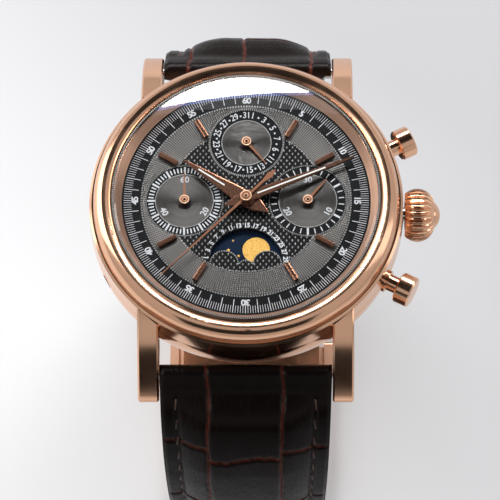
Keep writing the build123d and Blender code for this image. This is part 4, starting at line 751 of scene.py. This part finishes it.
# Middle line of the lower half, and of the upper one, which bends round more tightly.
strap_lines = {
    -1: ((21.5, 53.7), (25.7, 51.39), (28.98, 44.96), (29.9, 34.94), (28.21, 22.09),
         (24.98, 12.07), (20.49, 5.69), (15.2, 2.3)),
    1: ((21.5, 53.7), (24.5, 51.1), (27.4, 44.6), (28.8, 34.8), (27.8, 22.3),
        (24.9, 12.1), (20.49, 5.69), (15.2, 2.3))}
strap_widths = (21.8, 17.6)
strap_humps = (1.42, 2.56, 3.2, 2.94, 2.3, 1.92, 1.6, 1.38)
strap_edge = 1.2
end_roll = 1.43
lining_depth = 1.22
seam_inset = 1.95
groove_half, groove_depth = 0.5, 0.28
crease_half, crease_depth = 0.42, 0.3
column_span, row_shift = 10.75, 2.6
pad_margin, pad_slope = 2.25, 5.2
edge_fall, edge_width = 0.32, 0.55
lining_fall, lining_width = 0.3, 0.6
crowding = 0.35
uv_span = 100


def strap_point(way, side):
    """The middle line at a way along it: its place, direction, half width, hump and length."""
    line = strap_lines[side]
    knots = [0.0]
    for a, b in zip(line, line[1:]):
        knots.append(knots[-1] + hypot(b[0] - a[0], b[1] - a[1]))
    slopes = []
    for number in range(len(line)):
        a = max(number - 1, 0)
        b = min(number + 1, len(line) - 1)
        run = knots[b] - knots[a]
        slopes.append(((line[b][0] - line[a][0]) / run, (line[b][1] - line[a][1]) / run))
    held = min(max(way, 0.0), knots[-1] - 1e-6)
    number = max(n for n in range(len(knots) - 1) if knots[n] <= held)
    run = knots[number + 1] - knots[number]
    t = (held - knots[number]) / run
    place_shares = (2 * t ** 3 - 3 * t ** 2 + 1, t ** 3 - 2 * t ** 2 + t,
                    -2 * t ** 3 + 3 * t ** 2, t ** 3 - t ** 2)
    slope_shares = (6 * t ** 2 - 6 * t, 3 * t ** 2 - 4 * t + 1,
                    -6 * t ** 2 + 6 * t, 3 * t ** 2 - 2 * t)
    spot, ahead = [], []
    for axis in (0, 1):
        four = (line[number][axis], slopes[number][axis] * run,
                line[number + 1][axis], slopes[number + 1][axis] * run)
        spot.append(sum(a * b for a, b in zip(place_shares, four)))
        ahead.append(sum(a * b for a, b in zip(slope_shares, four)))
    size = hypot(*ahead)
    ahead = (ahead[0] / size, ahead[1] / size)
    spot = (spot[0] + (way - held) * ahead[0], spot[1] + (way - held) * ahead[1])
    half = (strap_widths[0] + (strap_widths[1] - strap_widths[0]) * (held / knots[-1])) / 2
    hump = strap_humps[number] + (strap_humps[number + 1] - strap_humps[number]) * t
    return spot, ahead, half, hump, knots[-1]


def eased(value, low, high):
    """0 below low, 1 above high, smooth between."""
    t = min(max((value - low) / (high - low), 0.0), 1.0)
    return t * t * (3 - 2 * t)


def edge_height(from_end):
    """The upper layer's edge over the middle line: it is thickest at the rolled ends."""
    return end_roll + (strap_edge - end_roll) * eased(from_end, 0.5, 2.5)


def crease_at(x, way, half, columns, rows):
    """How deep a crease between scales runs at this place, from 0 to 1."""
    found = 0.0
    for number, column in enumerate(columns):
        centre = column * half / column_span
        centre += 0.5 * noise.noise(Vector((0.0, way * 0.16, 3.0 + number)))
        centre += 0.12 * noise.noise(Vector((0.0, way * 0.9, 9.0 + number)))
        found = max(found, 1 - min(abs(x - centre) / crease_half, 1.0))
    for number, row in enumerate(rows):
        field = sum(1 for column in columns if x > column * half / column_span)
        # Rows are set off from field to field, except in the one that the photo shows level.
        offset = 0 if field == 1 else (field * 0.618 + number * 0.37) % 1.0 - 0.5
        centre = row + row_shift * offset
        centre += 0.9 * noise.noise(Vector((x * 0.16, 7.0 + number + field, 0.0)))
        centre += 0.15 * noise.noise(Vector((x * 1.1, 2.0 + number, 5.0)))
        found = max(found, 1 - min(abs(way - centre) / crease_half, 1.0))
    return found


def strap_half(name, side, body, columns, rows):
    """side is 1 for the upper half, -1 for the lower one. A grid is wrapped round the section."""
    length = strap_point(0.0, side)[4]
    steps, outside, inside = 340, 116, 16
    around = outside + inside
    piece = start(bpy.ops.mesh.primitive_grid_add, name, x_subdivisions=around,
                  y_subdivisions=steps, size=1.0, location=(0, 0, 0))
    depth = piece.data.attributes.new("crease", "FLOAT", "POINT")
    laid = {}
    for vertex in piece.data.vertices:
        column = round((vertex.co.x + 0.5) * around)
        row = round((vertex.co.y + 0.5) * steps)
        # The rows crowd together at both rolled ends.
        way = (length / 2 + end_roll) * -cos(pi * row / steps) * crowding
        way += (length + 2 * end_roll) * (row / steps - 0.5) * (1 - crowding)
        way += length / 2
        spot, ahead, half, hump, _ = strap_point(way, side)
        from_end = min(way, length - way)
        short = max(-from_end, 0.0)
        round_off = sqrt(max(end_roll ** 2 - short ** 2, 0.0)) / end_roll
        if column <= outside:
            x = half * (2 * column / outside - 1)
            rim = half - abs(x)
            padded = eased(from_end, 1.6, 6.0)
            swell = sin(pi / 2 * min(max((rim - pad_margin) / pad_slope, 0.0), 1.0)) ** 0.85
            base = edge_height(from_end)
            lift = base + max(hump - base, 0.0) * swell * padded
            groove = groove_depth * max(1 - abs(rim - seam_inset) / groove_half, 0.0)
            groove *= eased(from_end, 2.2, 3.2)
            crease = crease_at(x, way, half, columns, rows) * eased(rim, 0.1, 0.6)
            lift -= groove + crease_depth * crease ** 1.5
            lift -= edge_fall * (1 - eased(rim, 0.0, edge_width))
            lift += 0.05 * noise.noise(Vector((x * 0.5, way * 0.35, side)))
            lift *= round_off
        else:
            x = half * (1 - 2 * (column - outside) / inside)
            rim = half - abs(x)
            lift = lining_fall * (1 - eased(rim, 0.0, lining_width)) - lining_depth
            lift *= round_off
            crease = 0.0
        laid[vertex.index] = (x, way, column)
        vertex.co = Vector((x, side * (spot[0] - ahead[1] * lift),
                            spot[1] + ahead[0] * lift)) * mm
        depth.data[vertex.index].value = crease
    lay = piece.data.uv_layers.active.data
    for loop in piece.data.loops:
        x, way, _ = laid[loop.vertex_index]
        lay[loop.index].uv = (x / uv_span, way / uv_span)
    piece.data.materials.clear()
    piece.data.materials.append(leather)
    piece.data.materials.append(lining)
    for face in piece.data.polygons:
        face.material_index = int(max(laid[v][2] for v in face.vertices) > outside + 1)
    bpy.ops.object.mode_set(mode="EDIT")
    bpy.ops.mesh.select_all(action="SELECT")
    bpy.ops.mesh.remove_doubles(threshold=0.004 * mm)
    bpy.ops.mesh.select_all(action="SELECT")
    bpy.ops.mesh.normals_make_consistent(inside=False)
    bpy.ops.object.mode_set(mode="OBJECT")
    bpy.ops.object.shade_smooth_by_angle(angle=radians(60))
    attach(piece, body)
    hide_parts(body)


# Calf leather, stamped, dyed nearly black and glazed: a dull shine over fine pores and folds, and
# the dye wears to red-brown in the creases.
leather, tree = finish("calf_leather_glazed", {
    "Base Color": linear("0B0808"), "Roughness": 0.34, "Specular IOR Level": 0.1})
lay = add(tree, "UVMap")
in_mm = add(tree, "Mapping", {"Scale": (uv_span, uv_span, 1)}, {"Vector": lay.outputs["UV"]})
crease = add(tree, "Attribute", {"attribute_name": "crease"})
worn = add(tree, "TexNoise", {"Scale": 1.3, "Detail": 4.0}, {"Vector": in_mm.outputs[0]})
edge = add(tree, "Math", {"operation": "MULTIPLY"},
           {0: crease.outputs["Fac"], 1: worn.outputs["Fac"]})
add(tree, "ValToRGB", {}, {"Fac": edge.outputs[0]}, [(0.15, "120B09"), (0.5, "5A2A1D")],
    feeds="Base Color")
pores = add(tree, "TexVoronoi", {"Scale": 2.6, "feature": "DISTANCE_TO_EDGE"},
            {"Vector": in_mm.outputs[0]})
drawn = add(tree, "Mapping", {"Scale": (2.2, 0.7, 1)}, {"Vector": in_mm.outputs[0]})
folds = add(tree, "TexNoise", {"Scale": 1.1, "Detail": 5.0}, {"Vector": drawn.outputs[0]})
height = add(tree, "Math", {"operation": "MULTIPLY_ADD", 1: 2.5},
             {0: folds.outputs["Fac"], 2: pores.outputs["Distance"]})
add(tree, "Bump", {"Strength": 0.5, "Distance": 0.06 * mm}, {"Height": height.outputs[0]},
    feeds="Normal")
add(tree, "MapRange", {"To Min": 0.22, "To Max": 0.38}, {"Value": folds.outputs["Fac"]},
    feeds="Roughness")

# Lining of smooth calf: matt and brown, with fine pores.
lining, tree = finish("calf_lining_matt", {
    "Base Color": linear("2B1A14"), "Roughness": 0.62})
lay = add(tree, "UVMap")
in_mm = add(tree, "Mapping", {"Scale": (uv_span, uv_span, 1)}, {"Vector": lay.outputs["UV"]})
pores = add(tree, "TexVoronoi", {"Scale": 3.5}, {"Vector": in_mm.outputs[0]})
add(tree, "ValToRGB", {}, {"Fac": pores.outputs["Distance"]},
    [(0.1, "332018"), (0.8, "241510")], feeds="Base Color")
add(tree, "Bump", {"Strength": 0.4, "Distance": 0.04 * mm},
    {"Height": pores.outputs["Distance"]}, feeds="Normal")

# Creases along the strap lie so far across it, and creases across it so far along it.
strap_half("strap_upper_leather", 1, "strap_upper", (-7.6, -0.6, 8.2),
           (6.5, 16.0, 26.5, 37.0, 48.0, 58.0, 67.0))
strap_half("strap_lower_leather", -1, "strap_lower", (-4.9, 4.6),
           (9.6, 20.2, 31.0, 41.5, 52.0, 62.0))


# Strap thread: waxed polyester, twisted, sewn by machine along both edges in a pressed groove, two
# stitches to 5 mm. It holds the two layers of leather together.

thread_half, stitch_length, stitch_pitch = 0.2, 1.5, 2.4
stitch_sag, stitch_sunk, stitch_slant = 0.22, 0.14, 0.12
seam_start, seam_end = 3.4, 3.0


def stitches(name, side, body):
    """One stitch is drawn, with its ends sunk, and copied along both seams."""
    length = strap_point(0.0, side)[4]
    stitch = start(bpy.ops.mesh.primitive_cylinder_add, name, vertices=8, radius=thread_half,
                   depth=stitch_length, location=(0, 0, 0), enter_editmode=True)
    bpy.ops.mesh.select_all(action="SELECT")
    bpy.ops.mesh.bevel(offset=0.12, segments=2)
    bpy.ops.mesh.select_all(action="SELECT")
    bpy.ops.mesh.normals_make_consistent(inside=False)
    bpy.ops.object.mode_set(mode="OBJECT")
    for vertex in stitch.data.vertices:
        vertex.co.y -= stitch_sag * (vertex.co.z / (stitch_length / 2)) ** 2
    made = []
    way = seam_start
    while way < length - seam_end:
        spot, ahead, half, _, _ = strap_point(way, side)
        lift = edge_height(min(way, length - way)) - stitch_sunk
        for edge in (-1, 1):
            piece = stitch.copy()
            piece.data = stitch.data.copy()
            bpy.context.scene.collection.objects.link(piece)
            # Its length lies along the seam, turned a little, and no side is mirrored.
            outward = Vector((0, -side * ahead[1], ahead[0]))
            along = Vector((stitch_slant * edge, side * ahead[0], ahead[1])).normalized()
            turn = Matrix((Vector((-side, 0, 0)), outward, along)).transposed().to_4x4()
            turn.translation = Vector((edge * (half - seam_inset),
                                       side * (spot[0] - ahead[1] * lift),
                                       spot[1] + ahead[0] * lift))
            piece.data.transform(turn)
            piece.data.transform(Matrix.Diagonal((mm, mm, mm, 1)))
            made.append(piece)
        way += stitch_pitch
    bpy.data.objects.remove(stitch)
    seam = joined(made, name)
    bpy.ops.object.shade_smooth_by_angle(angle=radians(60))
    settle(seam, thread, body)


# Brown thread, with a painted highlight on each turn of its twist.
thread, tree = finish("waxed_thread_brown", {
    "Base Color": linear("3A241C"), "Roughness": 0.5})
place = add(tree, "TexCoord")
twist_painted_highlight = add(tree, "TexWave", {"Scale": 0.9 * per_mm, "Distortion": 1.0},
            {"Vector": place.outputs["Object"]})
add(tree, "ValToRGB", {}, {"Fac": twist_painted_highlight.outputs["Fac"]}, [(0.2, "2A1813"), (0.8, "5A3A2C")],
    feeds="Base Color")

stitches("strap_upper_thread", 1, "strap_upper")
stitches("strap_lower_thread", -1, "strap_lower")


# Folding clasp: cover, middle blade and inner frame of polished rose gold, stamped, bent and
# joined by pins. Two brushed buttons in its sides let it open, and a steel pin holds the strap.

dress(rose_gold, "clasp_cover", "clasp_blade", "clasp_frame")
dress(satin_gold, "clasp_button_left", "clasp_button_right")
dress(polished_steel, "strap_end_pin")


# Studio: a wide sheet of pale grey paper under the watch, two black cards that its metal mirrors,
# and four soft boxes. Places and sizes are in metres.

watch_middle = (0, 0, 0.06)

# Matt paper, with painted shade: it is a little darker behind the watch to the right.
paper, tree = finish("studio_paper_pale", {
    "Base Color": linear("DEDDDF"), "Roughness": 0.9})
place = add(tree, "TexCoord")
across = add(tree, "Mapping", {"Rotation": (0, 0, radians(-53))},
             {"Vector": place.outputs["Object"]})
along = add(tree, "SeparateXYZ", {}, {"Vector": across.outputs[0]})
paper_painted_shade = add(tree, "MapRange", {"From Min": -0.01, "From Max": 0.05}, {"Value": along.outputs["X"]})
add(tree, "ValToRGB", {}, {"Fac": paper_painted_shade.outputs[0]}, [(0.0, "E2E2E3"), (1.0, "BEBEC0")],
    feeds="Base Color")
floor = start(bpy.ops.mesh.primitive_plane_add, "studio_floor", size=6.0, location=(0, 0, 0))
floor.data.materials.append(paper)

# Matt black card, the dark side of the studio: it shows in reflections only.
black_paper, tree = finish("studio_card_black", {
    "Base Color": linear("0B0B0C"), "Roughness": 0.9})
for name, place, aim, width, length in (
        ("card_over", (0.0, 0.14, 0.80), (0, 0.14, 0), 0.62, 0.92),
        ("card_front", (0.0, -0.75, 0.46), watch_middle, 1.2, 0.5)):
    card = start(bpy.ops.mesh.primitive_plane_add, name, size=1.0, location=place)
    card.scale = (width, length, 1)
    card.rotation_euler = (Vector(aim) - Vector(place)).to_track_quat("-Z", "Y").to_euler()
    card.visible_camera = False
    card.visible_diffuse = False
    card.visible_shadow = False
    card.data.materials.append(black_paper)

# The room's light is dim, and metal, glass and camera see it brighter.
world = bpy.data.worlds.new("studio")
bpy.context.scene.world = world
world.use_nodes = True
tree = world.node_tree
surround = tree.nodes["Background"]
surround.inputs["Color"].default_value = linear("E3E3E6")
ray = add(tree, "LightPath")
shown = add(tree, "Math", {"operation": "ADD", "use_clamp": True},
            {0: ray.outputs["Is Camera Ray"], 1: ray.outputs["Is Glossy Ray"]})
seen = add(tree, "Math", {"operation": "ADD", "use_clamp": True},
           {0: shown.outputs[0], 1: ray.outputs["Is Transmission Ray"]})
level = add(tree, "MapRange", {"To Min": 0.35, "To Max": 0.75}, {"Value": seen.outputs[0]})
tree.links.new(level.outputs[0], surround.inputs["Strength"])

# The crystal mirrors the back box, and the thin blue strip beside it as a fringe.
for name, place, width, length, power, tilted, colour in (
        ("box_back", (0.0, 0.886, 0.854), 1.6, 0.28, 20.0, 6, "FFFFFF"),
        ("box_left", (-0.55, 0.25, 0.40), 0.5, 0.8, 3.2, 0, "FFFFFF"),
        ("box_back_fringe", (0.0, 0.7835, 0.9557), 1.6, 0.010, 0.17, 6, "95ADFF"),
        ("box_right", (0.6, 0.05, 0.3), 0.2, 0.6, 0.4, 0, "FFFFFF")):
    lamp = bpy.data.lights.new(name, "AREA")
    lamp.shape = "RECTANGLE"
    lamp.size = width
    lamp.size_y = length
    lamp.energy = power
    lamp.color = linear(colour)[:3]
    box = bpy.data.objects.new(name, lamp)
    bpy.context.scene.collection.objects.link(box)
    box.location = place
    box.rotation_euler = (Vector(watch_middle) - Vector(place)).to_track_quat("-Z", "Y").to_euler()
    box.rotation_euler.rotate_axis("Z", radians(tilted))


# Camera: half a metre from the watch, seen from the front and above, with a long lens. It is
# turned a little to the side, and its shift sets the watch in the frame as in the photo.

from_top, to_side, rolled = radians(24.94), radians(1.917), radians(0.364)
sight = Vector((sin(from_top) * sin(to_side), -sin(from_top) * cos(to_side), cos(from_top)))
upward = (Vector((0, 1, 0)) - sight * sight.y).normalized()
right = upward.cross(sight)
turned_right = right * cos(rolled) + upward * sin(rolled)
turned_up = upward * cos(rolled) - right * sin(rolled)
lens = bpy.data.cameras.new("camera")
lens.lens = 283
lens.sensor_width = 36
lens.shift_x = 0.00772
lens.shift_y = -0.0990
lens.clip_start = 0.01
camera = bpy.data.objects.new("camera", lens)
bpy.context.scene.collection.objects.link(camera)
pose = Matrix((turned_right, turned_up, sight)).transposed().to_4x4()
pose.translation = Vector(watch_middle) + 0.5 * sight
camera.matrix_world = pose
bpy.context.scene.camera = camera
bpy.context.scene.view_settings.view_transform = "Standard"
